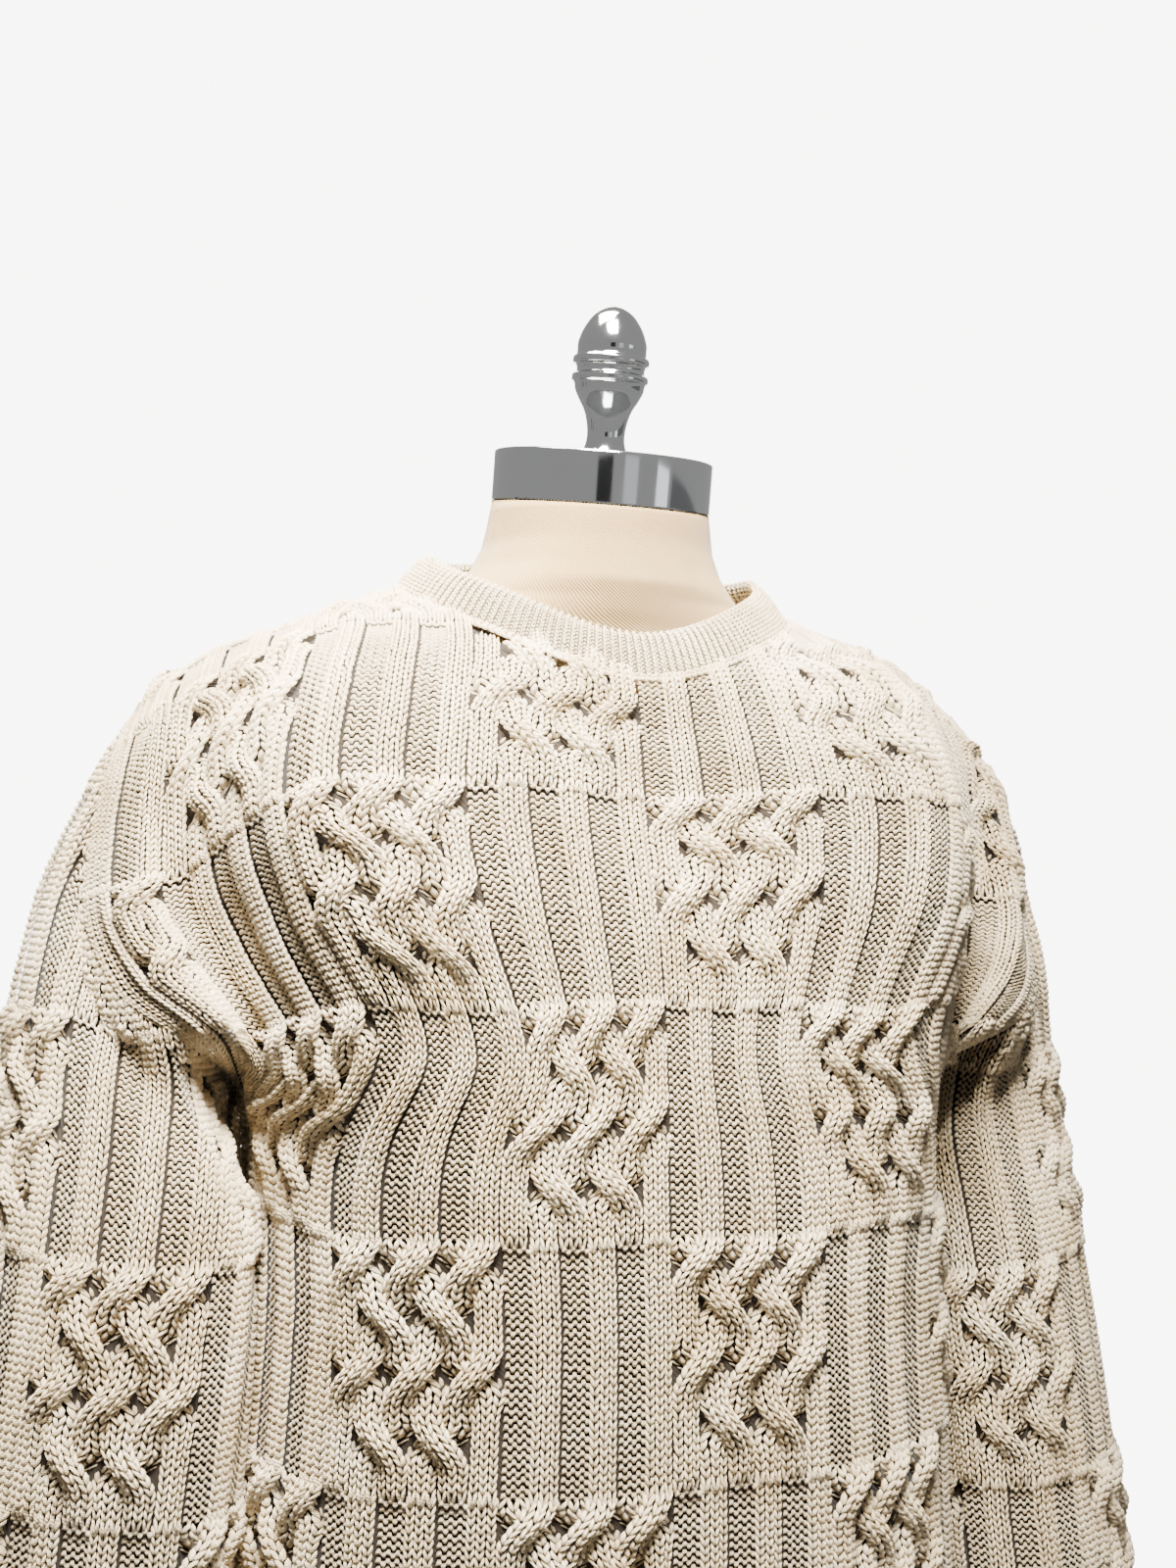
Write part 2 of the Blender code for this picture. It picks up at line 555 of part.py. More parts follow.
base_point = np.array(CAP_TOP) - axis * CAP_HEIGHT
add_lathe("neck_cap", base_point, axis,
          ((0.0, CAP_RADIUS), (CAP_HEIGHT - CAP_EDGE, CAP_RADIUS), (CAP_HEIGHT - CAP_EDGE * 0.35, CAP_RADIUS - CAP_EDGE * 0.35),
           (CAP_HEIGHT, CAP_RADIUS - CAP_EDGE)), 48, chrome)
tip_rows = [(FINIAL_TOP - 0.0004, 0.0026)]
add_lathe("finial", np.array(CAP_TOP) + axis * 0.0003, axis, tuple(FINIAL) + tuple(tip_rows), 24, chrome)
add_lathe("pole", (0, 0, BASE_HEIGHT + 0.0003), (0, 0, 1), ((0, POLE_RADIUS), (FORM[0][0] - BASE_HEIGHT - 0.0006, POLE_RADIUS)), 24, steel)
add_lathe("base", (0, 0, 0), (0, 0, 1), ((0, BASE_RADIUS), (BASE_HEIGHT - BASE_EDGE, BASE_RADIUS), (BASE_HEIGHT, BASE_RADIUS - BASE_EDGE)), 56, steel)
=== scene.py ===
import math

import bmesh
import bpy
import numpy as np
from mathutils import Matrix, Vector


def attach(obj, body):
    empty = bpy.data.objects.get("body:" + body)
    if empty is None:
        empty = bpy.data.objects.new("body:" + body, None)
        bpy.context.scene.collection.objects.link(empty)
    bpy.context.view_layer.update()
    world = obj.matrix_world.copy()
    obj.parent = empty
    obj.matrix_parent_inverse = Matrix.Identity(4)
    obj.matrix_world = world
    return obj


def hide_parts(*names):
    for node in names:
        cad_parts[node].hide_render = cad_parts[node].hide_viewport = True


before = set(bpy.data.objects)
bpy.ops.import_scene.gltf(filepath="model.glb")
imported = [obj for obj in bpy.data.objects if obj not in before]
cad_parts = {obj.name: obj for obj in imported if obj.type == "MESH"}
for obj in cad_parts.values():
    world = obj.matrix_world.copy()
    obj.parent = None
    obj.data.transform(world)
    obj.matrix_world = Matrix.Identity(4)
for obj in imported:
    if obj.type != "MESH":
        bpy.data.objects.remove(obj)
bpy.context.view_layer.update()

# ---- camera ----------------------------------------------------------------
# A long-ish lens at chest height, standing a little to the wearer's right.
TURN, TILT, ROLL = math.radians(19.0), math.radians(1.8), math.radians(1.5)
STAND_OFF, LENS_HEIGHT = 0.93, 0.78
aim = Vector((math.sin(TURN) * math.cos(TILT), math.cos(TURN) * math.cos(TILT), math.sin(TILT)))
level_right = Vector((math.cos(TURN), -math.sin(TURN), 0.0))
level_up = level_right.cross(aim)
right = level_right * math.cos(ROLL) + level_up * math.sin(ROLL)
up = level_up * math.cos(ROLL) - level_right * math.sin(ROLL)
camera = bpy.data.objects.new("camera", bpy.data.cameras.new("camera"))
camera.data.lens = 40.5
camera.data.clip_start = 0.01
place = Vector((-STAND_OFF * math.sin(TURN), -STAND_OFF * math.cos(TURN), LENS_HEIGHT))
camera.matrix_world = Matrix.Translation(place) @ Matrix((right, up, -aim)).transposed().to_4x4()
bpy.context.scene.collection.objects.link(camera)
bpy.context.scene.camera = camera

# ---- front and back panels -------------------------------------------------
# Two knitted panels of plied cotton, in a chequer of cable blocks and
# three-by-three rib blocks. Each hangs from the shoulder line to the hem rib,
# with a deep fold beside the arm where the dropped shoulder overhangs.
STITCH, COURSE = 0.0043, 0.0036            # width of a wale, height of a course
HALF_WALES = 65                            # wales from the centre to the side
CENTRE_SHIFT = 1.2                         # the pattern's block edge lies this far to the wearer's right
BLOCK_TOP_Z = 0.716                        # height of a block edge on the centre line
BLOCK_WALES, BLOCK_COURSES = 18, 30        # a block is six strands of three wales
BODY_POWER = 3.0                           # squareness of the body's sections
SEAM_BACK = 0.004                          # the side seams hang this far behind the middle
GROUND_DEPTH = 0.0027                      # the plain ground lies this far inside the stitches
FINE_ABOVE_Z = 0.39                        # stitches above this height get every fold of the yarn
STATIONS = (0.0, 0.30, 0.60, 0.73, 0.86, 1.0)
NECK_A, NECK_FRONT, NECK_BACK = 0.106, 0.081, 0.072
# height, half width, front depth, back depth
TRUNK = (
    (0.285, 0.180, 0.147, 0.124),
    (0.330, 0.187, 0.157, 0.130),
    (0.450, 0.182, 0.156, 0.129),
    (0.560, 0.176, 0.149, 0.127),
)
# height, then points at centre, breast, chest edge, fold, crest, armhole seam
FRONT = (
    (0.645, (0, -.139, .645), (.086, -.134, .645), (.147, -.107, .646),
     (.170, -.064, .648), (.176, -.032, .650), (.177, .004, .652)),
    (0.700, (0, -.130, .700), (.086, -.127, .702), (.153, -.108, .702),
     (.179, -.067, .684), (.194, -.075, .688), (.211, -.067, .685)),
    (0.750, (0, -.119, .750), (.086, -.119, .754), (.163, -.104, .753),
     (.191, -.050, .722), (.218, -.066, .718), (.241, -.050, .706)),
    (0.790, (0, -.104, .790), (.085, -.107, .797), (.172, -.088, .797),
     (.206, -.037, .752), (.232, -.047, .746), (.2535, -.022, .736)),
    (0.830, (0, -.091, .830), (.085, -.090, .840), (.168, -.066, .842),
     (.2150, -.027, .797), (.236, -.029, .785), (.2525, -.012, .770)),
    (0.870, (0, -.072, .870), (.085, -.058, .880), (.160, -.034, .872),
     (.2140, -.017, .838), (.232, -.016, .822), (.2460, -.010, .805)),
    (0.912, (0, .000, .912), (.088, .000, .909), (.155, .001, .885),
     (.1970, .002, .868), (.220, .001, .850), (.2365, .000, .831)),
)
BACK = (
    (0.645, (0, .126, .645), (.086, .120, .645), (.148, .092, .646),
     (.170, .062, .648), (.176, .034, .650), (.177, .004, .652)),
    (0.700, (0, .127, .700), (.088, .122, .701), (.156, .099, .701),
     (.184, .070, .690), (.197, .063, .683), (.208, .054, .681)),
    (0.750, (0, .123, .750), (.088, .120, .752), (.164, .098, .752),
     (.199, .070, .736), (.220, .061, .724), (.236, .058, .708)),
    (0.790, (0, .113, .790), (.088, .111, .793), (.168, .088, .792),
     (.207, .060, .776), (.231, .051, .762), (.2480, .045, .745)),
    (0.830, (0, .101, .835), (.088, .095, .836), (.166, .069, .832),
     (.208, .044, .815), (.232, .037, .800), (.2490, .031, .784)),
    (0.870, (0, .086, .900), (.088, .072, .893), (.160, .041, .870),
     (.204, .024, .848), (.228, .021, .830), (.2425, .017, .810)),
    (0.912, (0, .000, .912), (.088, .000, .909), (.155, .001, .885),
     (.1970, .002, .868), (.220, .001, .850), (.2365, .000, .831)),
)
LEVELS = np.array([r[0] for r in TRUNK] + [r[0] for r in FRONT])
SPREAD = np.r_[-np.array(STATIONS)[:0:-1], np.array(STATIONS)]


def unit(v):
    return v / np.maximum(np.linalg.norm(v, axis=-1, keepdims=True), 1e-12)


def curve(knots, values, at):
    """Smooth curve through values at knots, read at each of `at`."""
    knots, values, at = np.asarray(knots, float), np.asarray(values, float), np.asarray(at, float)
    tail = (1,) * (values.ndim - 1)
    step = np.diff(knots)
    rate = np.diff(values, axis=0) / step.reshape((-1,) + tail)
    m = np.empty_like(values)
    m[0], m[-1] = rate[0], rate[-1]
    for i in range(1, len(knots) - 1):
        m[i] = (rate[i - 1] * step[i] + rate[i] * step[i - 1]) / (step[i - 1] + step[i])
    i = np.clip(np.searchsorted(knots, at, side="right") - 1, 0, len(knots) - 2)
    h = (knots[i + 1] - knots[i]).reshape((-1,) + tail)
    s = ((at - knots[i]) / (knots[i + 1] - knots[i])).reshape((-1,) + tail)
    return ((2 * s**3 - 3 * s**2 + 1) * values[i] + (s**3 - 2 * s**2 + s) * h * m[i]
            + (3 * s**2 - 2 * s**3) * values[i + 1] + (s**3 - s**2) * h * m[i + 1])


def quarter(half_width, depth, shares):
    """Points of a squared quarter section at shares of its length, centre to side."""
    t = np.linspace(0.0, math.pi / 2, 241)
    x = half_width * np.sin(t) ** (2 / BODY_POWER)
    y = depth * np.cos(t) ** (2 / BODY_POWER)
    run = np.r_[0.0, np.cumsum(np.hypot(np.diff(x), np.diff(y)))]
    return np.interp(shares, run / run[-1], x), np.interp(shares, run / run[-1], y)


def run_along(points, axis):
    """Length run along an axis of a grid of points, from its start."""
    steps = np.linalg.norm(np.diff(points, axis=axis), axis=-1)
    lead = [(0, 0)] * steps.ndim
    lead[axis] = (1, 0)
    return np.pad(np.cumsum(steps, axis=axis), lead)


class Cloth:
    """A surface read in knit units: wale across, course up, and a height off it."""

    def __init__(self, grid, wales, courses, turned):
        self.grid, self.wales, self.courses = grid, wales, courses
        self.normal = unit(np.cross(np.gradient(grid, axis=1), np.gradient(grid, axis=0))) * turned

    def read(self, field, wale, course):
        i, j = (np.clip((spot - marks[0]) / (marks[1] - marks[0]), 0, len(marks) - 1.001)
                for spot, marks in ((wale, self.wales), (course, self.courses)))
        a, b = i.astype(int), j.astype(int)
        fa, fb = (i - a)[..., None], (j - b)[..., None]
        low = field[b, a] * (1 - fa) + field[b, a + 1] * fa
        high = field[b + 1, a] * (1 - fa) + field[b + 1, a + 1] * fa
        return low * (1 - fb) + high * fb

    def at(self, wale, course, height):
        normal = unit(self.read(self.normal, wale, course))
        return self.read(self.grid, wale, course) + normal * np.asarray(height)[..., None]


def panel_surface(table, side):
    """Dense points of a panel: rows are levels, columns equal shares of the half width."""
    rows = []
    for height, half, front, back in TRUNK:
        x, y = quarter(half, front if side < 0 else back, STATIONS)
        y = y * side + SEAM_BACK * np.asarray(STATIONS) ** 4
        rows.append(np.stack([x, y, np.full(len(x), height)], -1))
    rows += [np.array(row[1:], float) for row in table]
    half = np.array(rows)
    net = np.concatenate([half[:, :0:-1] * (-1, 1, 1), half], axis=1)
    levels = np.linspace(LEVELS[0], LEVELS[-1], 260)
    lines = curve(LEVELS, net, levels)
    fine = np.array([curve(SPREAD, line, np.linspace(-1, 1, 401)) for line in lines])
    shares = np.linspace(0, 1, 101)
    out = []
    for line in fine:
        halves = []
        for part in (line[200::-1], line[200:]):
            run = run_along(part, 0)
            halves.append(np.stack([np.interp(shares * run[-1], run, part[:, k]) for k in range(3)], -1))
        out.append(np.vstack([halves[0][:0:-1], halves[1]]))
    return levels, np.array(out)


def sag(share, level):
    """How far a course drops between the breast and the arm."""
    ramp = np.clip((level - 0.63) / 0.13, 0, 1)
    drop = np.interp(np.abs(share), (0, .25, .46, .60, .73, 1), (0, .003, .012, .009, .002, 0))
    return drop * ramp * ramp * (3 - 2 * ramp)


def panel_cloth(table, side):
    """Panel as Cloth, with course 0 at a block edge, and its level at each lattice point."""
    levels, dense = panel_surface(table, side)
    shares = np.linspace(-1, 1, 201)
    middle = dense[:, 100]
    run = run_along(middle, 0)
    base = np.interp(BLOCK_TOP_Z, middle[:, 2], run)
    # the knit is drawn closer where the shoulders slope away
    gained = np.interp(levels, (.28, .60, .70, .77, .845, .912), (1, 1.5, 2.5, 3, 8, 11))
    count = (run - base) / COURSE + gained
    courses = np.arange(math.floor(count[0]), math.ceil(count[-1]) + 9, 0.5)
    level = np.interp(courses, count, levels)
    over = (courses - count[-1]).clip(0) * COURSE
    at = level[:, None] - sag(shares[None], level[:, None]) + over[:, None] * 0.5
    # courses never lie quite level on a washed sweater
    share, height = shares[None], level[:, None]
    at = at + 0.0017 * np.sin(11 * share + 31 * height) * np.sin(5 * share - 17 * height + 1)
    spot = np.clip((at - levels[0]) / (levels[1] - levels[0]), 0, len(levels) - 1.001)
    j = spot.astype(int)
    f = (spot - j)[..., None]
    cols = np.arange(201)[None]
    grid = dense[j, cols] * (1 - f) + dense[np.minimum(j + 1, len(levels) - 1), cols] * f
    wales = shares * HALF_WALES + CENTRE_SHIFT
    cloth = Cloth(grid, wales, courses, 1.0 if side < 0 else -1.0)
    cloth.level = at
    return cloth


def srgb(code):
    """Linear colour from an sRGB hex code."""
    parts = [int(code[i:i + 2], 16) / 255 for i in (1, 3, 5)]
    return [c / 12.92 if c <= 0.04045 else ((c + 0.055) / 1.055) ** 2.4 for c in parts] + [1.0]


def node(tree, kind, links=None, **settings):
    """Adds a node: settings by property or input name, links as input: socket."""
    made = tree.nodes.new(kind)
    for key, value in settings.items():
        if hasattr(made, key):
            setattr(made, key, value)
        else:
            made.inputs[key.replace("_", " ")].default_value = value
    for key, socket in (links or {}).items():
        tree.links.new(socket, made.inputs[key])
    return made


def multiply(tree, colour, factor):
    """Colour times a grey factor."""
    made = node(tree, "ShaderNodeMix", data_type="RGBA", blend_type="MULTIPLY")
    made.inputs[0].default_value = 1.0
    tree.links.new(colour, made.inputs[6])
    tree.links.new(factor, made.inputs[7])
    return made.outputs[2]


def new_material(name, roughness, **shader_values):
    made = bpy.data.materials.new(name)
    made.use_nodes = True
    tree = made.node_tree
    shader = tree.nodes["Principled BSDF"]
    shader.inputs["Roughness"].default_value = roughness
    for key, value in shader_values.items():
        shader.inputs[key.replace("_", " ")].default_value = value
    return made, tree, shader


# Plied cotton, undyed and washed: matt, with a fuzz that catches light at the edges.
# Flecks of 2 to 3 mm and cloudier patches mottle it, and the twist of the plies
# shows as fine slanting ridges along each loop.
# Painted shade darkens each loop towards its edges, and darkens a stitch where it sinks.
def cotton_yarn(name, dark, middle, light, deep=0.0):
    """Cotton in three tones; deep says how much darker a stitch is painted where it sinks, as painted
    shade.
    """
    made, tree, shader = new_material(
        name, 0.92, Sheen_Weight=0.25, Sheen_Roughness=0.5, Specular_IOR_Level=0.25)
    where = node(tree, "ShaderNodeTexCoord").outputs["Object"]
    fleck = node(tree, "ShaderNodeTexNoise", {"Vector": where}, Scale=420.0, Detail=3.0, Roughness=0.65)
    patch = node(tree, "ShaderNodeTexNoise", {"Vector": where}, Scale=28.0, Detail=3.0, Roughness=0.55)
    tone = node(tree, "ShaderNodeMath", {0: fleck.outputs["Fac"], 1: patch.outputs["Fac"]}, operation="ADD")
    tone = node(tree, "ShaderNodeMath", {0: tone.outputs[0]}, operation="MULTIPLY")
    tone.inputs[1].default_value = 0.5
    ramp = node(tree, "ShaderNodeValToRGB", {"Fac": tone.outputs[0]})
    for stop, (position, code) in zip(ramp.color_ramp.elements, ((0.36, dark), (0.66, light))):
        stop.position, stop.color = position, srgb(code)
    ramp.color_ramp.elements.new(0.50).color = srgb(middle)
    yarn = node(tree, "ShaderNodeUVMap", uv_map="yarn").outputs["UV"]
    across = node(tree, "ShaderNodeSeparateXYZ", {"Vector": yarn}).outputs["X"]
    across = node(tree, "ShaderNodeMath", {0: across, 1: across}, operation="MULTIPLY").outputs[0]
    # painted shade: each loop is painted darker towards its edges, down to half at the rim
    edge = node(tree, "ShaderNodeMapRange", {"Value": across}, From_Max=0.25, To_Min=1.0, To_Max=0.50)
    shade = multiply(tree, ramp.outputs["Color"], edge.outputs["Result"])
    # painted shade: the lower a stitch lies, the darker it is painted, by up to the share deep
    painted_shade_height = node(tree, "ShaderNodeAttribute", attribute_name="painted_shade_height").outputs["Fac"]
    sunk = node(tree, "ShaderNodeMapRange", {"Value": painted_shade_height}, To_Min=1.0 - deep, To_Max=1.0)
    tree.links.new(multiply(tree, shade, sunk.outputs["Result"]), shader.inputs["Base Color"])
    twist = node(tree, "ShaderNodeTexWave", {"Vector": yarn}, bands_direction="DIAGONAL",
                 Scale=1.0, Distortion=1.2, Detail=1.5)
    fibre = node(tree, "ShaderNodeTexNoise", {"Vector": where}, Scale=1900.0, Detail=2.0)
    plies = node(tree, "ShaderNodeBump", {"Height": twist.outputs["Fac"]}, Strength=0.55, Distance=0.00035)
    fuzz = node(tree, "ShaderNodeBump", {"Height": fibre.outputs["Fac"], "Normal": plies.outputs["Normal"]},
                Strength=0.5, Distance=0.0003)
    tree.links.new(fuzz.outputs["Normal"], shader.inputs["Normal"])
    return made


cotton = cotton_yarn("plied_cotton_ecru", "#c3ac84", "#e1cda8", "#f8e9cb", deep=0.30)
# the ground behind the stitches is painted near black: painted shade in the gaps between stitches
cotton_painted_shade = cotton_yarn("plied_cotton_painted_shade_between_stitches", "#20170d", "#33281a", "#463a28")


def add_piece(name, verts, faces, material, smooth=True, uvs=None, bake=None):
    """Mesh object from arrays; faces all of one size; uvs and bake are per vertex."""
    faces = np.asarray(faces, np.int32)
    mesh = bpy.data.meshes.new(name)
    size = faces.shape[1]
    mesh.vertices.add(len(verts))
    mesh.vertices.foreach_set("co", np.asarray(verts, np.float32).ravel())
    mesh.loops.add(faces.size)
    mesh.loops.foreach_set("vertex_index", faces.ravel())
    mesh.polygons.add(len(faces))
    mesh.polygons.foreach_set("loop_start", np.arange(0, faces.size, size, dtype=np.int32))
    mesh.polygons.foreach_set("loop_total", np.full(len(faces), size, np.int32))
    mesh.polygons.foreach_set("use_smooth", np.full(len(faces), smooth))
    mesh.update(calc_edges=True)
    mesh.validate()
    for layer, values in (("yarn", uvs), ("OFBake", bake)):
        if values is not None:
            made = mesh.uv_layers.new(name=layer)
            made.data.foreach_set("uv", np.asarray(values, np.float32)[faces.ravel()].ravel())
    obj = bpy.data.objects.new(name, mesh)
    bpy.context.scene.collection.objects.link(obj)
    mesh.materials.append(material)
    return obj


def loops_of_yarn(spine, half, bulge, sink, detail):
    """Leaf-shaped lengths of yarn in knit units.

    spine: (N, 4, 3) wale, course, height down the middle; half: (2,) half width
    across and up; detail 2, 1 or 0 gives eight, four or two triangles each;
    returns vertices in knit units, triangles and yarn UVs.
    """
    n = len(spine)
    hw = np.array([half[0], half[1], 0.0])
    if detail == 2:
        v = np.empty((n, 8, 3))
        v[:, 0], v[:, 7] = spine[:, 0], spine[:, 3]
        for k, row in ((1, 1), (4, 2)):
            v[:, k], v[:, k + 1], v[:, k + 2] = spine[:, row] - hw, spine[:, row], spine[:, row] + hw
            v[:, k, 2] -= sink
            v[:, k + 1, 2] += bulge
            v[:, k + 2, 2] -= sink
        tri = np.array([(0, 2, 1), (0, 3, 2), (1, 2, 5), (1, 5, 4),
                        (2, 3, 6), (2, 6, 5), (4, 5, 7), (5, 6, 7)])
        uv = np.array([(0, 0), (-.5, 1), (0, 1), (.5, 1), (-.5, 2), (0, 2), (.5, 2), (0, 3)])
    elif detail == 1:
        v = np.empty((n, 5, 3))
        mid = (spine[:, 1] + spine[:, 2]) / 2
        v[:, 0], v[:, 4] = spine[:, 0], spine[:, 3]
        v[:, 1], v[:, 2], v[:, 3] = mid - hw * 1.15, mid, mid + hw * 1.15
        v[:, 1, 2] -= sink
        v[:, 2, 2] += bulge * 1.1
        v[:, 3, 2] -= sink
        tri = np.array([(0, 2, 1), (0, 3, 2), (1, 2, 4), (2, 3, 4)])
        uv = np.array([(0, 0), (-.5, 1.5), (0, 1.5), (.5, 1.5), (0, 3)])
    else:
        v = np.empty((n, 4, 3))
        mid = (spine[:, 1] + spine[:, 2]) / 2
        v[:, 0], v[:, 1], v[:, 2], v[:, 3] = spine[:, 0], mid - hw, mid + hw, spine[:, 3]
        v[:, ::3, 2] += bulge * 0.6
        tri = np.array([(0, 3, 1), (0, 2, 3)])
        uv = np.array([(0, 0), (-.5, 1.5), (.5, 1.5), (0, 3)])
    k = v.shape[1]
    faces = (tri[None] + (np.arange(n) * k)[:, None, None]).reshape(-1, 3)
    return v.reshape(-1, 3), faces, np.tile(uv, (n, 1)).astype(float)


def gather(name, chunks, material):
    """One piece from chunks of (points, faces, yarn UVs, bake UVs, height share for painted shade)."""
    starts = np.cumsum([0] + [len(c[0]) for c in chunks[:-1]])
    xyz, uv, bake, painted_shade_height = (np.concatenate([c[k] for c in chunks]) for k in (0, 2, 3, 4))
    faces = np.concatenate([c[1] + start for c, start in zip(chunks, starts)])
    made = add_piece(name, xyz, faces, material, uvs=uv, bake=bake)
    # each point keeps its height share, which sets its painted shade
    height = made.data.attributes.new("painted_shade_height", "FLOAT", "POINT")
    height.data.foreach_set("value", painted_shade_height.astype(np.float32))
    return made


# cable: the course of each crossing above the block's foot, the pairs of strands
# that cross there, and the way that the upper strand of a pair goes
CROSSINGS = ((6.5, ((1, 2), (3, 4)), -1), (14.0, ((0, 1), (2, 3), (4, 5)), 1),
             (21.0, ((1, 2), (3, 4)), -1), (26.8, ((0, 1), (2, 3), (4, 5)), 1))
# a strand's half step in courses, half hump, rise, spread, and half spread
OVER = (3.5, 2.7, 1.0, 0.27, 3.9)
UNDER = (2.3, 2.2, -0.75, 0.92, 2.6)


def strand_path(start, course, whole):
    """Position (0..5), height share and spread of a strand that enters a block at `start`.

    whole: for each crossing, whether each of its pairs lies inside the seams.
    """
    spot = np.full(course.shape, float(start))
    height, wide = np.zeros(course.shape), np.zeros(course.shape)
    now = start
    for (centre, pairs, over_way), inside in zip(CROSSINGS, whole):
        for (a, b), fits in zip(pairs, inside):
            if fits and now in (a, b):
                way = 1 if now == a else -1
                reach, half_hump, rise, spread, half_spread = OVER if way == over_way else UNDER
                s = np.clip((course - centre + reach) / (2 * reach), 0, 1)
                spot += way * s * s * (3 - 2 * s)
                height += np.exp(-((course - centre) / half_hump) ** 2) * rise
                wide += spread * np.exp(-((course - centre) / half_spread) ** 2)
                now += way
                break
    return spot, height, wide


# a leg runs from the foot of a stitch's V out to its shoulder; a purl stitch shows
# its head, bowed up, and its foot, bowed down between two heads
LEG = ((0.05, -0.30, -0.0006), (0.17, 0.12, 0.0), (0.30, 0.66, 0.0), (0.40, 1.12, -0.0008))
PURL_HEAD = ((-.36, -.02, -.0003), (-.14, .32, 0), (.14, .32, 0), (.36, -.02, -.0003))
PURL_FOOT = ((.16, .18, -.0003), (.38, -.14, -.0001), (.62, -.14, -.0001), (.84, .18, -.0003))


def share_of(spot, marks):
    """Share of the way from the first mark to the last."""
    return (spot - marks[0]) / (marks[-1] - marks[0])


def knit_panel(cloth, name, keep, fine_where, selvedge, seed, split):
    """Builds a piece's stitches.

    keep, fine_where and selvedge test arrays of wales and courses: is the stitch inside
    the seams, does it get full detail, is it a plain one beside a seam. split gives the
    cables and the ribs a piece each.
    """
    rng = np.random.default_rng(seed)
    first, last = math.floor(cloth.wales[0]), math.ceil(cloth.wales[-1])
    low, high = math.floor(cloth.courses[0]), math.ceil(cloth.courses[-1])
    i, j = (a.ravel() for a in np.meshgrid(np.arange(first, last), np.arange(low, high)))
    block_col, block_row = np.floor_divide(i, BLOCK_WALES), np.floor_divide(j, BLOCK_COURSES)
    plain = selvedge(i + 0.5, j + 0.5)
    cable = ((block_col + block_row) % 2 == 0) & ~plain
    spot, step, rise = (i % BLOCK_WALES) // 3, (i % 3) - 1.0, (j % BLOCK_COURSES).astype(float)
    leg_shapes = tuple((np.array(LEG) * (side, 1, 1), (0.19, 0.0)) for side in (-1, 1))
    purl_shapes = ((np.array(PURL_HEAD), (0.0, .40)), (np.array(PURL_FOOT), (0.0, .38)))

    def inside_seams(col, row, strand, centre):
        """Whether a strand of a block lies inside the seams at a crossing."""
        wale = np.array([col * BLOCK_WALES + 3 * strand + 1.5])
        course = np.array([row * BLOCK_COURSES + centre])
        return bool((keep(wale, course) & ~selvedge(wale, course))[0])

    whole_pairs = {}
    for col, row in sorted(set(zip(block_col[cable].tolist(), block_row[cable].tolist()))):
        whole_pairs[col, row] = [
            [all(inside_seams(col, row, strand, centre) for strand in pair) for pair in pairs]
            for centre, pairs, _ in CROSSINGS]

    def strand_wale(block, entry, k, across, course):
        """Knit place of a point of a cable stitch."""
        out, up_ = np.zeros(course.shape), np.zeros(course.shape)
        for col, row in sorted(whole_pairs):
            at_block = (block[0] == col) & (block[1] == row)
            if not at_block.any():
                continue
            for s in range(6):
                m = at_block & (entry == s)
                if not m.any():
                    continue
                p, h, wide = strand_path(s, course[m], whole_pairs[col, row])
                local = (k[m] + across[m]) * (0.94 + wide)
                out[m] = 3 * p + 1.5 + local
                q = (local / 1.5).clip(-1.25, 1.25)
                # strands over purl ribs rise out of them and sink back
                ends = 1.0
                if s % 2 == 0:
                    ends = np.clip(np.minimum(course[m] + 1.0, 30.5 - course[m]) / 2.0, 0, 1)
                crown = (-0.0002 + 0.0030 * (1 - q * q)) * ends - 0.0008 * (1 - ends)
                up_[m] = crown + h * np.where(h > 0, 0.0032, 0.0014)
        return out, up_

    rib = (~cable) & ((spot % 2 == 1) | plain)
    purl = (~cable) & (spot % 2 == 0) & ~plain
    parts = {"cables": [], "ribs": []}
    for which in ("cable", "rib", "purl"):
        m = {"cable": cable, "rib": rib, "purl": purl}[which]
        m = m & keep(i + 0.5, j + 0.5)
        ii, jj = i[m].astype(float), j[m].astype(float)
        if not len(ii):
            continue
        fine = fine_where(ii, jj)
        for is_fine in (True, False):
            f = fine == is_fine
            if not f.any():
                continue
            a, b, k, sp, tau = ii[f], jj[f], step[m][f], spot[m][f], rise[m][f]
            base_col = block_col[m][f] * float(BLOCK_WALES)
            for line, half in purl_shapes if which == "purl" else leg_shapes:
                n = len(a)
                jig = rng.normal(0, 1, (n, 1, 3)) * (0.025, 0.03, 0.00008)
                spine = np.repeat(line[None], n, 0) + jig
                bulge = 0.0011 if which != "purl" else 0.0009
                detail = 2 if is_fine else int(which != "purl")
                v, faces, uv = loops_of_yarn(spine, half, bulge, 0.0007, detail)
                per = len(v) // n
                rep = lambda x: np.repeat(x, per)
                if which != "purl":
                    # a block's first course reaches down to the one below
                    v[:, 1] -= np.where((rep(tau) < 0.5) & (v[:, 1] < 0.2), 0.6, 0.0)
                if which == "cable":
                    course = rep(tau) + v[:, 1]
                    block = rep(block_col[m][f]), rep(block_row[m][f])
                    wale, height = strand_wale(block, rep(sp).astype(int), rep(k), v[:, 0], course)
                    wale += rep(base_col)
                elif which == "rib":
                    local = rep(k) + v[:, 0]
                    wale = rep(base_col + sp * 3 + 1.5) + local
                    q = local / 1.5
                    height = np.where(rep(plain[m][f]), 0.0006, 0.0001 + 0.0014 * (1 - q * q))
                else:
                    local = rep(k) + v[:, 0]
                    wale = rep(base_col + sp * 3 + 1.5) + local * 0.94
                    height = np.full(len(v), -0.0008) - 0.0004 * (1 - (local / 1.6) ** 2).clip(0, 1)
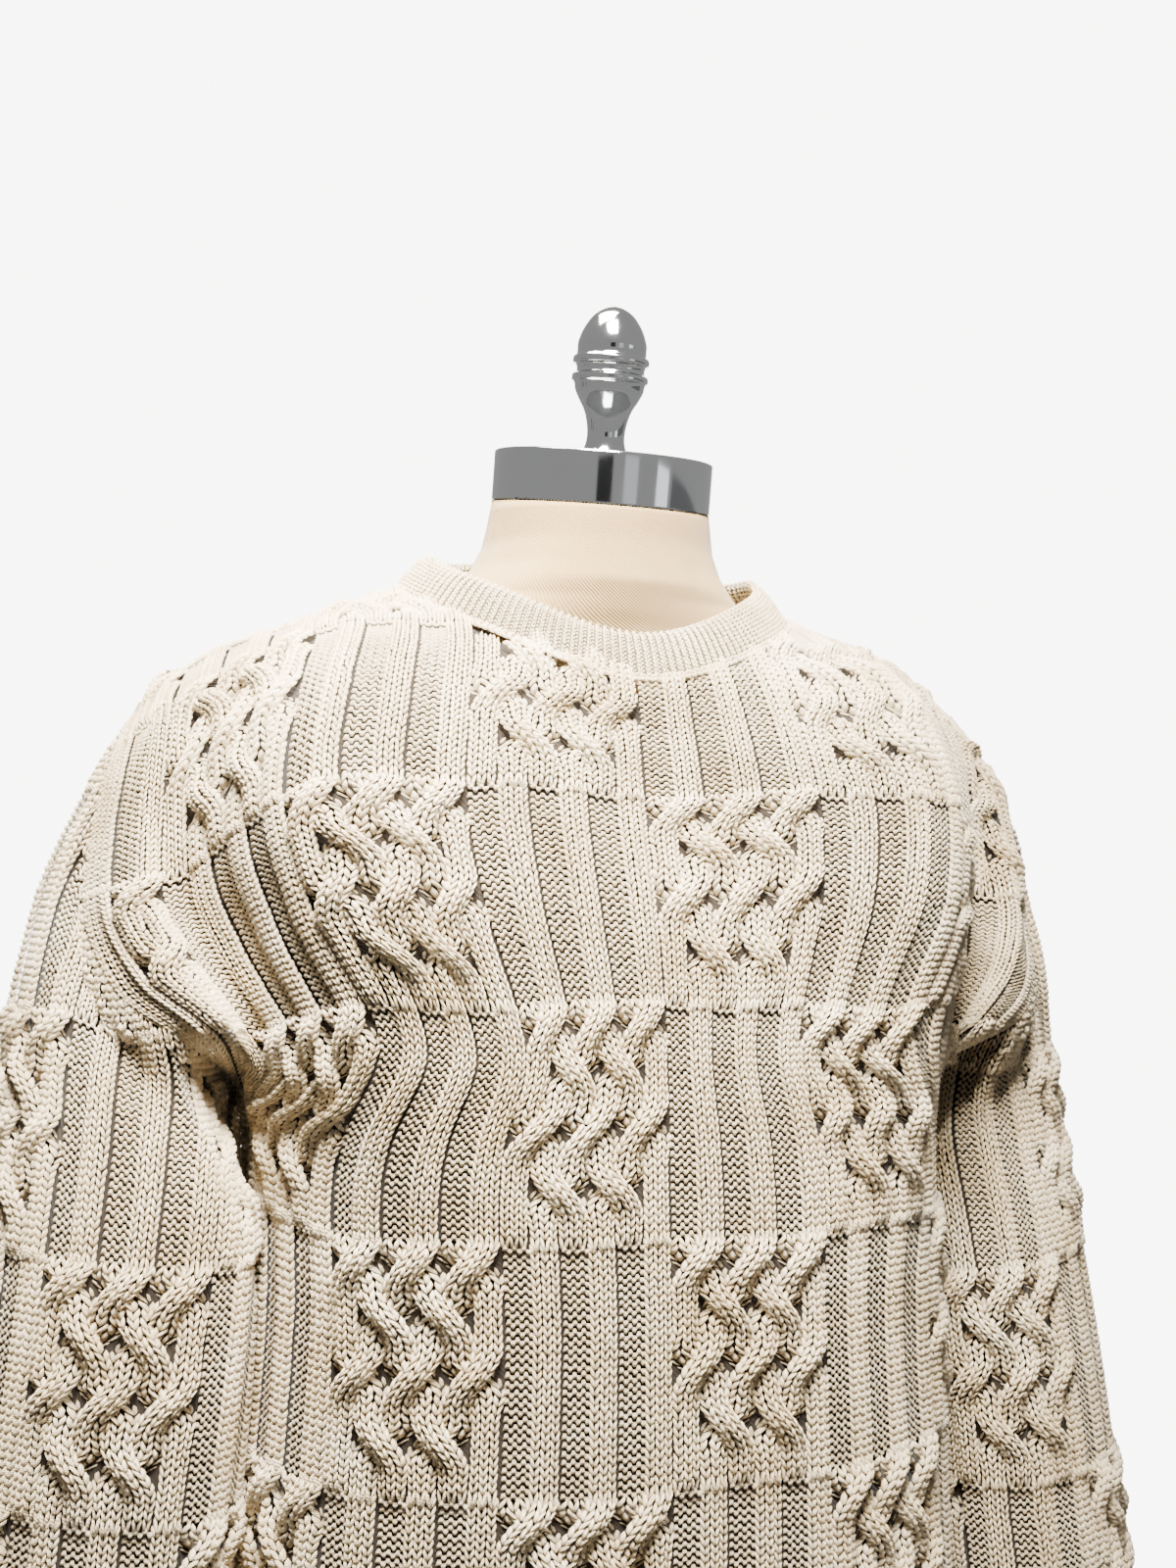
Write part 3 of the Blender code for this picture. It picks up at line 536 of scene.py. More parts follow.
                    # the last purl course stands up as a ridge under the block above
                    top = rep(tau) > 28.5
                    height += np.where(top, 0.0014, 0.0)
                    v[:, 1] += np.where(top, 0.12, 0.0)
                course = rep(b) + v[:, 1]
                xyz = cloth.at(wale, course, height + v[:, 2])
                bake = np.stack([share_of(wale, cloth.wales), share_of(course, cloth.courses)], -1)
                uv = uv * (1.0, 1.6) + np.repeat(rng.random(n) * 7, per)[:, None] * (0, 1)
                # painted shade: the lower the yarn lies, the darker it is painted
                painted_shade_height = ((height + v[:, 2] + 0.0012) / 0.0034).clip(0, 1)
                chunk = xyz, faces, uv, bake.clip(0.001, 0.999), painted_shade_height
                parts["cables" if which == "cable" else "ribs"].append(chunk)
    if not split:
        parts = {"knit": parts["cables"] + parts["ribs"]}
    return [gather(f"{name}_{part}", chunks, cotton) for part, chunks in parts.items()]


def ground(table, side, depth, name):
    """The cloth behind the stitches, one layer of yarn deep, from hem seam to shoulder and neck, painted
    near black as shade in the gaps.
    """
    levels, dense = panel_surface(table, side)
    normal = unit(np.cross(np.gradient(dense, axis=1), np.gradient(dense, axis=0))) * -side
    rows = np.unique(np.r_[np.arange(0, len(levels), 3), len(levels) - 1])
    grid = (dense - normal * GROUND_DEPTH)[rows][:, ::2]
    count, cols = grid.shape[:2]
    a = np.arange(count * cols).reshape(count, cols)
    quads = np.stack([a[:-1, :-1], a[:-1, 1:], a[1:, 1:], a[1:, :-1]], -1).reshape(-1, 4)
    if side > 0:
        quads = quads[:, ::-1]
    centre = grid.reshape(-1, 3)[quads].mean(1)
    outside = ((centre[:, 0] / NECK_A) ** 2 + (centre[:, 1] / depth) ** 2 > 1) | (centre[:, 2] < 0.80)
    g = np.stack(np.meshgrid(np.linspace(0, 1, cols), np.linspace(0, 1, count)), -1).reshape(-1, 2)
    return add_piece(name, grid.reshape(-1, 3), quads[outside], cotton_painted_shade,
                     uvs=g * (130, 170), bake=g * 0.998 + 0.001)


def chain_seam(name, line, normal, seed, wide=0.0021, link=0.0040):
    """Row of linking stitches along a seam."""
    run = run_along(line, 0)
    count = int(run[-1] / link)
    at = np.linspace(0, run[-1], count * 2 + 1)
    line, normal = (np.stack([np.interp(at, run, a[:, k]) for k in range(3)], -1) for a in (line, normal))
    normal = unit(normal)
    across = unit(np.cross(np.gradient(line, axis=0), normal)) * wide
    strip = np.stack([line - across, line, line + across], 1)
    cloth = Cloth(strip, np.array([-1.0, 0.0, 1.0]), np.linspace(0, count, count * 2 + 1), 1.0)
    cloth.normal = np.repeat(normal[:, None], 3, 1)
    rng = np.random.default_rng(seed)
    chunks = []
    leg = np.array([(0.10, -0.25, -0.0008), (0.40, 0.15, 0.0), (0.62, 0.66, 0.0), (0.75, 1.10, -0.0010)])
    for side in (-1, 1):
        spine = np.repeat((leg * (side, 1, 1))[None], count, 0)
        spine = spine + rng.normal(0, 1, (count, 1, 3)) * (0.05, 0.03, 0.00008)
        v, faces, uv = loops_of_yarn(spine, (0.42, 0.0), 0.0012, 0.0010, 2)
        per = len(v) // count
        course = np.repeat(np.arange(count), per) + v[:, 1]
        xyz = cloth.at(v[:, 0], course.clip(0, count), v[:, 2] - 0.0002)
        bake = np.stack([(v[:, 0] + 2) / 4, course / count], -1).clip(0.001, 0.999)
        # the last entry sets painted shade: the lower the yarn lies, the darker it is painted
        chunks.append((xyz, faces, uv * (1.0, 1.6), bake, ((v[:, 2] + 0.001) / 0.002).clip(0, 1)))
    made = gather(name, chunks, cotton)
    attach(made, "root")
    return made


def shoulder_line(way):
    """Top line of a shoulder, from the neckline out to the armhole, with its normals."""
    levels, dense = panel_surface(FRONT, -1)
    edge = dense[-1, 100:] if way > 0 else dense[-1, 100::-1]
    edge = edge[np.abs(edge[:, 0]) > NECK_A - 0.008]
    return edge, np.repeat([[0.12 * way, 0.0, 1.0]], len(edge), 0)


front_cloth, back_cloth = panel_cloth(FRONT, -1), panel_cloth(BACK, 1)


def keep_panel(cloth, depth, margin):
    """Test for stitches inside the side seams, below the shoulder and neck seams."""
    def test(wale, course):
        at = cloth.at(wale, course, np.zeros(wale.shape))
        level = cloth.read(cloth.level[..., None], wale, course + margin * 250)[..., 0]
        share = (wale - CENTRE_SHIFT) / HALF_WALES
        neck = (at[:, 0] / (NECK_A - margin)) ** 2 + (at[:, 1] / (depth - margin)) ** 2 > 1
        seams = (np.abs(share) < 0.996) & (level < LEVELS[-1] - 0.0002) & (course > cloth.courses[0] + 0.2)
        return seams & (neck | (at[:, 2] < 0.80))
    return test


def fine_front(wale, course):
    return front_cloth.read(front_cloth.grid, wale, course)[:, 2] > FINE_ABOVE_Z


def fine_nowhere(wale, course):
    return np.full(wale.shape, False)


def beside_side_seam(wale, course):
    return np.abs(wale - CENTRE_SHIFT) > HALF_WALES - 2.6


for name, table, side, depth, cloth, fine, seed in (
        ("front", FRONT, -1, NECK_FRONT, front_cloth, fine_front, 3),
        ("back", BACK, 1, NECK_BACK, back_cloth, fine_nowhere, 4)):
    keep = keep_panel(cloth, depth, 0.002)
    stitches = knit_panel(cloth, name, keep, fine, beside_side_seam, seed, split=name == "front")
    if name == "front":
        for way, hand in ((-1, "right"), (1, "left")):
            stitches.append(chain_seam(f"shoulder_seam_{hand}", *shoulder_line(way), 41 + way))
    panel = ground(table, side, depth, f"{name}_cloth")
    for piece in stitches + [panel]:
        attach(piece, "root")
    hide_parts(name)

# ---- sleeves ---------------------------------------------------------------
# Two knitted tubes in the same blocks, sewn into the dropped armholes and
# narrowed at the underarm seam. Each hangs straight down beside the body.
CUFF_SEAM_Z = 0.328
SLEEVE_BLEND = 0.085                       # a sleeve rounds out over this fall below its armhole
ARMPIT_Z = 0.660                           # below this a sleeve hangs clear of the body
SLEEVE_HALF_WALES = 60
# height, centre x, centre y, long half axis, short half axis, turn in degrees
SLEEVE_RIGHT = (
    (0.830, 0.196, 0.008, 0.046, 0.036, 20),
    (0.800, 0.204, 0.010, 0.052, 0.046, 20),
    (0.770, 0.212, 0.011, 0.056, 0.051, 25),
    (0.720, 0.220, 0.006, 0.062, 0.054, 32),
    (0.680, 0.226, -.004, 0.066, 0.051, 38),
    (0.640, 0.231, -.018, 0.067, 0.048, 42),
    (0.570, 0.236, -.033, 0.069, 0.049, 42),
    (0.450, 0.246, -.040, 0.069, 0.051, 42),
    (0.380, 0.252, -.042, 0.064, 0.049, 42),
    (0.345, 0.254, -.042, 0.050, 0.041, 42),
    (0.328, 0.255, -.042, 0.042, 0.035, 42),
)
SLEEVE_LEFT = (
    (0.830, 0.196, 0.008, 0.046, 0.036, 20),
    (0.800, 0.204, 0.012, 0.052, 0.046, 20),
    (0.770, 0.212, 0.014, 0.056, 0.051, 25),
    (0.720, 0.220, 0.011, 0.062, 0.054, 32),
    (0.680, 0.226, 0.008, 0.066, 0.051, 38),
    (0.640, 0.232, 0.003, 0.067, 0.048, 42),
    (0.570, 0.236, -.014, 0.069, 0.049, 42),
    (0.450, 0.246, -.031, 0.069, 0.051, 42),
    (0.380, 0.252, -.038, 0.064, 0.049, 42),
    (0.345, 0.254, -.039, 0.050, 0.041, 42),
    (0.328, 0.255, -.039, 0.042, 0.035, 42),
)


def body_side(y, z):
    """Half width of the body below the armpit at depths and heights."""
    heights = [r[0] for r in TRUNK] + [FRONT[0][0]]
    half = np.interp(z, heights, [r[1] for r in TRUNK] + [FRONT[0][6][0]])
    reach = np.interp(z, heights, [r[2] for r in TRUNK] + [-FRONT[0][1][1]])
    return half * np.maximum(0.0, 1 - np.abs((y - 0.004) / reach) ** BODY_POWER) ** (1 / BODY_POWER)


def sleeve_rings(table, side, columns=144, rows=90):
    """Outer points of a sleeve: rows from cuff to armhole, columns tip, front, underarm, back."""
    edge = {}
    for key, panel, way in (("front", FRONT, -1), ("back", BACK, 1)):
        levels, dense = panel_surface(panel, way)
        upper = levels >= FRONT[0][0] - 1e-9
        edge[key] = dense[upper][:, -1], dense[upper][:, -6]
    line = np.vstack([edge["front"][0][::-1], edge["back"][0][1:]])
    near = np.vstack([edge["front"][1][::-1], edge["back"][1][1:]])
    run = run_along(line, 0)
    at = np.linspace(0, run[-1], columns + 1)[:-1]
    loop, near = (np.stack([np.interp(at, run, a[:, k]) for k in range(3)], -1) for a in (line, near))
    follow = unit(np.roll(loop, -1, 0) - np.roll(loop, 1, 0))
    away = loop - near
    away = unit(away - follow * (away * follow).sum(-1, keepdims=True))
    for _ in range(6):
        away = unit(away * 2 + np.roll(away, 1, 0) + np.roll(away, -1, 0))
    away = unit(away * (0.55, 0.15, 0.3) + (0.0, 0.0, -0.8))
    sections = np.array(table[::-1])
    even = 2 * math.pi * at / run[-1]
    rings = []
    for w in np.linspace(0, 1, rows) ** 1.25:
        fall = (loop[:, 2] - CUFF_SEAM_Z) * w
        z = loop[:, 2] - fall
        cx, cy, long, short, turn = curve(sections[:, 0], sections[:, 1:], z).T
        lx, ly = np.cos(np.radians(turn)), np.sin(np.radians(turn))
        along = np.cos(even) * lx - np.sin(even) * ly
        beside = -np.cos(even) * ly - np.sin(even) * lx
        ellipse = np.stack([cx + long * along * lx - short * beside * ly,
                            cy + long * along * ly + short * beside * lx, z], -1)
        s = np.clip(fall / SLEEVE_BLEND, 0, 1)[:, None]
        s = s * s * (3 - 2 * s)
        ring = (loop + away * fall[:, None] * 0.7) * (1 - s) + ellipse * s
        if w > 0:
            ease = np.clip((ARMPIT_Z - ring[:, 2]) / 0.03, 0, 1)
            clear = body_side(ring[:, 1], ring[:, 2]) + 0.0006 + 0.0045 * ease
            ring[:, 0] = np.where(ring[:, 2] < ARMPIT_Z, np.maximum(ring[:, 0], clear), ring[:, 0])
        rings.append(ring)
    return np.array(rings[::-1]) * (side, 1, 1)


def sleeve_cloth(rings, side, first_wale, first_course):
    """Sleeve as Cloth: wales from the outer line, courses up from the cuff.

    Its `room` says how far inside the seams each point lies.
    """
    columns = rings.shape[1]
    run = run_along(rings, 0)
    longest = run[-1].max()
    courses = np.arange(-2, math.ceil(longest / COURSE) + 2, 0.5)
    up_ = courses * COURSE
    grid = np.empty((len(courses), columns, 3))
    room = np.empty((len(courses), columns))
    for i in range(columns):
        path, reach = rings[:, i], run[:, i]
        grid[:, i] = np.stack([np.interp(up_, reach, path[:, k]) for k in range(3)], -1)
        beyond = (up_ - reach[-1]).clip(0)[:, None]
        grid[:, i] += unit(path[-1] - path[-3]) * beyond + unit(path[0] - path[2]) * (-up_).clip(0)[:, None]
        room[:, i] = np.minimum(reach[-1] - up_, up_ + 0.5 * COURSE)
    # resample each row by distance from the outer line; columns run towards the front
    wales = np.arange(-SLEEVE_HALF_WALES, SLEEVE_HALF_WALES + 0.5, 0.5)
    out, left = np.empty((len(courses), len(wales), 3)), np.empty((len(courses), len(wales)))
    for j in range(len(courses)):
        ring = np.vstack([grid[j], grid[j, :1]])
        reach = run_along(ring, 0)
        total = reach[-1]
        s = wales * STITCH * (-side)
        inside = total / 2 - np.abs(s)
        around = np.mod(np.clip(s, -total / 2, total / 2), total)
        out[j] = np.stack([np.interp(around, reach, ring[:, k]) for k in range(3)], -1)
        left[j] = np.minimum(np.interp(around, reach, np.r_[room[j], room[j, 0]]), inside)
    cloth = Cloth(out, wales + first_wale, courses - first_course, 1.0)
    # normals from the rings themselves, so the underarm seam stays sound
    across = np.gradient(out, axis=1)
    cloth.normal = unit(np.cross(across, np.gradient(out, axis=0)))
    bad = np.linalg.norm(across, axis=-1) < 1e-6
    hold = cloth.normal.copy()
    for j in range(len(courses)):
        good = np.flatnonzero(~bad[j])
        every = np.arange(len(wales))
        cloth.normal[j] = np.stack([np.interp(every, good, hold[j, good, k]) for k in range(3)], -1)
    cloth.normal = unit(cloth.normal)
    cloth.room = left
    return cloth


def quads_round(rows, columns):
    """Quads of a tube whose points run round each ring, ring after ring."""
    a = np.arange(rows * columns).reshape(rows, columns)
    b = np.roll(a, -1, 1)
    return np.stack([a[:-1], b[:-1], b[1:], a[1:]], -1).reshape(-1, 4)


def tube(name, rings, inset_by, material, flip):
    """Closed tube of cloth from rings, sunk below its outer face."""
    across = np.roll(rings, -1, 1) - np.roll(rings, 1, 1)
    normal = unit(np.cross(across, np.gradient(rings, axis=0))) * flip
    xyz = (rings - normal * inset_by).reshape(-1, 3)
    rows, cols = rings.shape[:2]
    quads = quads_round(rows, cols)
    if flip < 0:
        quads = quads[:, ::-1]
    g = np.stack(np.meshgrid(np.linspace(0, 1, cols), np.linspace(0, 1, rows)), -1).reshape(-1, 2)
    return add_piece(name, xyz, quads, material, uvs=g * (cols, rows), bake=g * 0.998 + 0.001)


for side, hand, table, first_wale, first_course in (
        (-1, "right", SLEEVE_RIGHT, 6, 14), (1, "left", SLEEVE_LEFT, 1, -23)):
    name = f"sleeve_{hand}"
    rings = sleeve_rings(table, side)
    cloth = sleeve_cloth(rings, side, first_wale, first_course)

    def room_at(wale, course):
        return cloth.read(cloth.room[..., None], wale, course)[..., 0]

    def keep_sleeve(wale, course):
        return room_at(wale, course) > 0.0008

    def fine_sleeve(wale, course):
        forward = cloth.read(cloth.normal, wale + 0.5, course + 0.5)[:, 1] < 0.05
        return forward & (cloth.read(cloth.grid, wale, course)[:, 2] > FINE_ABOVE_Z)

    def beside_seam(wale, course):
        return room_at(wale, course) < 0.0095

    stitches = knit_panel(cloth, name, keep_sleeve, fine_sleeve, beside_seam, 5 + side, split=False)
    loop = np.vstack([rings[-1], rings[-1, :1]])
    down = unit(rings[-1] - rings[-2])
    out_ = unit(np.cross(np.roll(rings[-1], -1, 0) - np.roll(rings[-1], 1, 0), down)) * -side
    out_ = unit(out_ + (0.9 * side, 0.0, 0.15))
    stitches.append(chain_seam(f"armhole_seam_{hand}", loop, np.vstack([out_, out_[:1]]), 50 + side))
    # the sleeve's ground is painted near black, as painted shade between the stitches
    sleeve = tube(f"{name}_cloth", rings[::2, ::2], GROUND_DEPTH, cotton_painted_shade, -side)
    for piece in stitches + [sleeve]:
        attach(piece, "root")
    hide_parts(name)

# ---- collar ----------------------------------------------------------------
# A one-by-one rib band, knitted long, folded in half and linked to the
# neckline so that it stands up and leans in towards the neck.
COLLAR_WIDTH, COLLAR_THICK = 0.026, 0.0052
# a rib leg and the bar of a purl wale, across, along and out, as for the panels
RIB_LEG = ((0.02, -0.25, -0.0005), (0.09, 0.15, 0.0), (0.17, 0.66, 0.0), (0.22, 1.10, -0.0006))
RIB_BAR = ((-.24, .10, -.0004), (-.09, .32, 0), (.09, .32, 0), (.24, .10, -.0004))
# the same cotton, knitted tighter: matt and cream, and its ground between the wales painted as shade, less
# dark than the panels'
cotton_rib = cotton_yarn("plied_cotton_rib", "#c8b189", "#e2cda5", "#f6e6c6", deep=0.35)
cotton_rib_painted_shade = cotton_yarn("plied_cotton_rib_painted_shade_between", "#4f4330", "#675942", "#7d6e54")


def rib_piece(name, grid, pairs, courses, closed, flip, seed):
    """One-by-one rib on a grid: raised knit wales over a ground. Rows run up, columns round."""
    if closed:
        grid = np.concatenate([grid, grid[:, :1]], axis=1)
    cloth = Cloth(grid, np.linspace(0, pairs, grid.shape[1]), np.linspace(0, courses, len(grid)), flip)
    if closed:
        seam = unit(cloth.normal[:, 0] + cloth.normal[:, -1])
        cloth.normal[:, 0] = cloth.normal[:, -1] = seam
    rng = np.random.default_rng(seed)
    i, j = (a.ravel().astype(float) for a in np.meshgrid(np.arange(pairs), np.arange(courses)))
    chunks = []
    for side in (-1, 1):
        spine = np.repeat((np.array(RIB_LEG) * (side, 1, 1))[None], len(i), 0)
        spine = spine + rng.normal(0, 1, (len(i), 1, 3)) * (0.015, 0.03, 0.00006)
        v, faces, uv = loops_of_yarn(spine, (0.11, 0.0), 0.0008, 0.0006, 1)
        per = len(v) // len(i)
        wale, course = np.repeat(i + 0.5, per) + v[:, 0], np.repeat(j, per) + v[:, 1]
        height = 0.0005 - 0.0012 * (np.abs(v[:, 0]) / 0.3).clip(0, 1) ** 2 + v[:, 2]
        xyz = cloth.at(wale.clip(0, pairs), course.clip(0, courses), height)
        bake = np.stack([wale / pairs, course / courses], -1).clip(0.001, 0.999)
        uv = uv * (1.0, 1.3) + np.repeat(rng.random(len(i)) * 7, per)[:, None] * (0, 1)
        # the last entry sets painted shade: the lower the yarn lies, the darker it is painted
        chunks.append((xyz, faces, uv, bake, ((height + 0.0009) / 0.002).clip(0, 1)))
    # bars of the purl wales between
    spine = np.repeat(np.array(RIB_BAR)[None], len(i), 0)
    spine = spine + rng.normal(0, 1, (len(i), 1, 3)) * (0.01, 0.03, 0.00005)
    v, faces, uv = loops_of_yarn(spine, (0.0, 0.30), 0.0006, 0.0004, 1)
    per = len(v) // len(i)
    wale, course = np.repeat(i + 1.0, per) + v[:, 0], np.repeat(j, per) + v[:, 1]
    wale = np.mod(wale, pairs) if closed else wale.clip(0, pairs)
    height = v[:, 2] - 0.0011
    xyz = cloth.at(wale, course.clip(0, courses), height)
    bake = np.stack([wale / pairs, course / courses], -1).clip(0.001, 0.999)
    # the purl bars lie low, so they get one fixed painted shade
    chunks.append((xyz, faces, uv, bake, np.full(len(v), 0.25)))
    knit = gather(f"{name}_knit", chunks, cotton_rib)
    cols = np.linspace(0, pairs, min(2 * pairs, 220) + 1)
    rows = np.linspace(0, courses, max(8, courses // 2) + 1)
    w, c = np.meshgrid(cols, rows)
    xyz = cloth.at(w, c, np.full(w.shape, -0.0016)).reshape(-1, 3)
    a = np.arange(w.size).reshape(w.shape)
    quads = np.stack([a[:-1, :-1], a[:-1, 1:], a[1:, 1:], a[1:, :-1]], -1).reshape(-1, 4)
    if flip < 0:
        quads = quads[:, ::-1]
    bake = np.stack([w / pairs, c / courses], -1).reshape(-1, 2) * 0.998 + 0.001
    # the ground between the wales is painted dark, as painted shade
    under = add_piece(f"{name}_cloth", xyz, quads, cotton_rib_painted_shade,
                      uvs=np.stack([w.ravel(), c.ravel()], -1), bake=bake)
    if closed:
        work = bmesh.new()
        work.from_mesh(under.data)
        bmesh.ops.remove_doubles(work, verts=work.verts, dist=1e-5)
        work.to_mesh(under.data)
        work.free()
    for piece in (knit, under):
        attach(piece, "root")
    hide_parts(name)
    return under, knit


# the neckline runs round both panels where they meet the collar's ellipse
ring, out_way = [], []
for panel, side, depth in ((FRONT, -1, NECK_FRONT), (BACK, 1, NECK_BACK)):
    levels, dense = panel_surface(panel, side)
    normals = unit(np.cross(np.gradient(dense, axis=1), np.gradient(dense, axis=0))) * -side
    inside = (dense[..., 0] / NECK_A) ** 2 + (dense[..., 1] / depth) ** 2
    points, ways = [], []
    for column in range(dense.shape[1]):
        upper = np.flatnonzero((inside[:, column] < 1) & (levels > 0.75))
        if len(upper):
            k = upper[0]
            f = (inside[k - 1, column] - 1) / (inside[k - 1, column] - inside[k, column])
            points.append(dense[k - 1, column] * (1 - f) + dense[k, column] * f)
            ways.append(normals[k, column])
    order = 1 if side < 0 else -1
    ring += points[::order]
    out_way += ways[::order]
ring, out_way = np.array(ring), np.array(out_way)
closed_ring = np.vstack([ring, ring[:1]])
reach = run_along(closed_ring, 0)
spots = np.linspace(0, reach[-1], 193)[:-1]
edge = np.stack([np.interp(spots, reach, closed_ring[:, k]) for k in range(3)], -1)
out_way = np.vstack([out_way, out_way[:1]])
out_way = np.stack([np.interp(spots, reach, out_way[:, k]) for k in range(3)], -1)
for _ in range(8):
    out_way = unit(out_way * 2 + np.roll(out_way, 1, 0) + np.roll(out_way, -1, 0))
    edge = edge * 0.5 + (np.roll(edge, 1, 0) + np.roll(edge, -1, 0)) * 0.25
around = np.arctan2(edge[:, 1], edge[:, 0])
# the band leans in most at the sides and least behind
tilt = 0.31 - 0.19 * np.sin(around) + 0.49 * np.cos(around) ** 2
lean = np.stack([-np.cos(around), -np.sin(around), np.zeros(len(around))], -1)
stand = unit(np.array([0.0, 0.0, 1.0]) + lean * tilt[:, None])
thick_way = unit(np.cross(np.stack([-np.sin(around), np.cos(around), np.zeros(len(around))], -1), stand))
# section of the folded band, in shares of its width and thickness, outside first
shape = np.array((
    (-0.08, 0.34), (0.08, 0.46), (0.36, 0.54), (0.66, 0.54), (0.86, 0.40), (0.97, 0.16), (1.0, 0.0),
    (0.97, -0.18), (0.86, -0.40), (0.66, -0.50), (0.36, -0.50), (0.10, -0.42)))
steps = run_along(shape * (COLLAR_WIDTH, COLLAR_THICK), 0)
even = curve(steps / steps[-1], shape, np.linspace(0, 1, 37))
base = edge - out_way * 0.0011 + stand * 0.001
up_share, out_share = even[:, 0, None, None], even[:, 1, None, None]
band = base[None] + stand[None] * (COLLAR_WIDTH * up_share) + thick_way[None] * (COLLAR_THICK * out_share)
collar, collar_knit = rib_piece("collar", band, 136, 24, True, 1.0, 11)
closed_edge, closed_way = (np.vstack([a, a[:1]]) for a in (edge + out_way * 0.0010, out_way))
neck_seam = chain_seam("neck_seam", closed_edge, closed_way, 12, 0.0023, 0.0034)

# ---- hem ribs --------------------------------------------------------------
# The hem of front and back: one-by-one rib in the same plied cotton, knitted
# tighter. Each is linked to the foot of its panel and draws it in a little.
HEM_SEAM_Z = 0.285
# height, half width, reach in front, reach behind
HEM_RIB = (
    (0.220, .1745, .1425, .1195),
    (0.246, .1725, .1400, .1175),
    (0.272, .1745, .1415, .1190),
    (0.285, .1790, .1460, .1230),
)
for name, above, side in (("hem_rib_front", "front_cloth", -1), ("hem_rib_back", "back_cloth", 1)):
    table = np.array(HEM_RIB)
    heights = np.linspace(table[0, 0], HEM_SEAM_Z - 0.0004, 24)
    sizes = curve(table[:, 0], table[:, 1:], heights)
    shares = np.linspace(-0.997, 0.997, 181)
    rows = []
    for z, (width, fore, aft) in zip(heights, sizes):
        x, y = quarter(width, fore if side < 0 else aft, np.abs(shares))
        y = y * side + SEAM_BACK * shares ** 4
        rows.append(np.stack([x * np.sign(shares), y, np.full(len(shares), z)], -1))
    hem, hem_knit = rib_piece(name, np.array(rows), 84, 19, False, -side, 20 + side)

# ---- cuffs -----------------------------------------------------------------
# Cuffs in the same cotton rib, each seamed to a tube and drawn in at the wrist,
# then linked to the foot of its sleeve.
# height, long half axis, short half axis
CUFF_RIB = ((0.262, .0395, .0340), (0.288, .0380, .0325), (0.314, .0385, .0325), (0.328, .0410, .0340))
for hand, table, side in (("right", SLEEVE_RIGHT, -1), ("left", SLEEVE_LEFT, 1)):
    _, cx, cy, _, _, turn = table[-1]
    sizes = np.array(CUFF_RIB)
    heights = np.linspace(sizes[0, 0], CUFF_SEAM_Z - 0.0004, 24)
    long, short = curve(sizes[:, 0], sizes[:, 1:], heights).T
    t = np.linspace(0, 2 * math.pi, 97)[:-1]
    lx, ly = math.cos(math.radians(turn)), math.sin(math.radians(turn))
    x = cx + np.outer(long, np.cos(t)) * lx - np.outer(short, np.sin(t)) * ly
    y = cy + np.outer(long, np.cos(t)) * ly + np.outer(short, np.sin(t)) * lx
    rows = np.stack([x * side, y, np.repeat(heights[:, None], 96, 1)], -1)
    cuff, cuff_knit = rib_piece(f"cuff_{hand}", rows, 38, 20, True, side, 30 + side)

# ---- dress form ------------------------------------------------------------
# A padded torso with a stub neck and no limbs, under a cover of cream cotton
# canvas pulled tight. The sweater hangs from its shoulders.
# height, half width, reach in front, reach behind, centre in depth
FORM = (
    (0.160, .150, .110, .096, .000), (0.166, .157, .116, .102, .000),
    (0.250, .160, .121, .106, .000), (0.340, .156, .119, .104, .000),
    (0.450, .146, .110, .098, .000), (0.560, .143, .110, .098, .000),
    (0.640, .147, .113, .100, .000), (0.700, .152, .106, .101, .000),
    (0.750, .162, .094, .096, .002), (0.790, .174, .084, .092, .002),
    (0.820, .181, .076, .086, .002), (0.840, .183, .069, .079, .002),
    (0.855, .181, .064, .071, .002), (0.866, .175, .060, .063, .002),
    (0.874, .164, .0590, .0580, .002), (0.881, .144, .0590, .0582, .002),
    (0.888, .119, .0600, .0590, .001), (0.894, .098, .0612, .0600, .000),
    (0.901, .082, .0632, .0620, .000), (0.909, .0740, .0645, .0645, -.0010),
    (0.918, .0668, .0630, .0630, -.0022), (0.930, .0610, .0605, .0605, -.0043),
    (0.942, .0588, .0588, .0588, -.0062),
)
NECK_LEAN = 8.5
CAP_TOP, CAP_RADIUS, CAP_HEIGHT, CAP_EDGE = (0.0, -0.0122, 0.980), 0.0575, 0.0265, 0.0016
lean = math.radians(NECK_LEAN)
axis = np.array([0.0, -math.sin(lean), math.cos(lean)])
form_rows = np.array(FORM)
SIDES = 128
turn = math.pi / 2 + np.arange(SIDES) * 2 * math.pi / SIDES
c, s_ = np.cos(turn), np.sin(turn)
rings = []
steps = [np.linspace(a, b, 4, endpoint=False) for a, b in zip(form_rows[:-1], form_rows[1:])]
for z, half, fore, aft, centre in np.concatenate(steps + [form_rows[-1:]]):
    power = np.interp(z, (0.79, 0.84, 0.885, 0.905), (2.35, 2.1, 1.85, 2.0))
    x = half * np.sign(c) * np.abs(c) ** (2 / power)
    y = centre + np.where(s_ > 0, aft, fore) * np.sign(s_) * np.abs(s_) ** (2 / power)
    rings.append(np.stack([x, y, np.full(SIDES, z)], -1))
cap_base = np.array(CAP_TOP) - axis * (CAP_HEIGHT + 0.0003)
across_cap, along_cap = np.array([1.0, 0, 0]), np.array([0, math.cos(lean), math.sin(lean)])
top = cap_base + (CAP_RADIUS - 0.0004) * (c[:, None] * across_cap + s_[:, None] * along_cap)
rings += [rings[-1] * 0.5 + top * 0.5, top]
rings = np.array(rings)


def close_ends(mesh, outward=False):
    """Fills the open ends of a mesh, and turns its faces outward if asked."""
    work = bmesh.new()
    work.from_mesh(mesh)
    bmesh.ops.holes_fill(work, edges=[e for e in work.edges if e.is_boundary])
    if outward:
        bmesh.ops.recalc_face_normals(work, faces=work.faces)
    work.to_mesh(mesh)
    work.free()


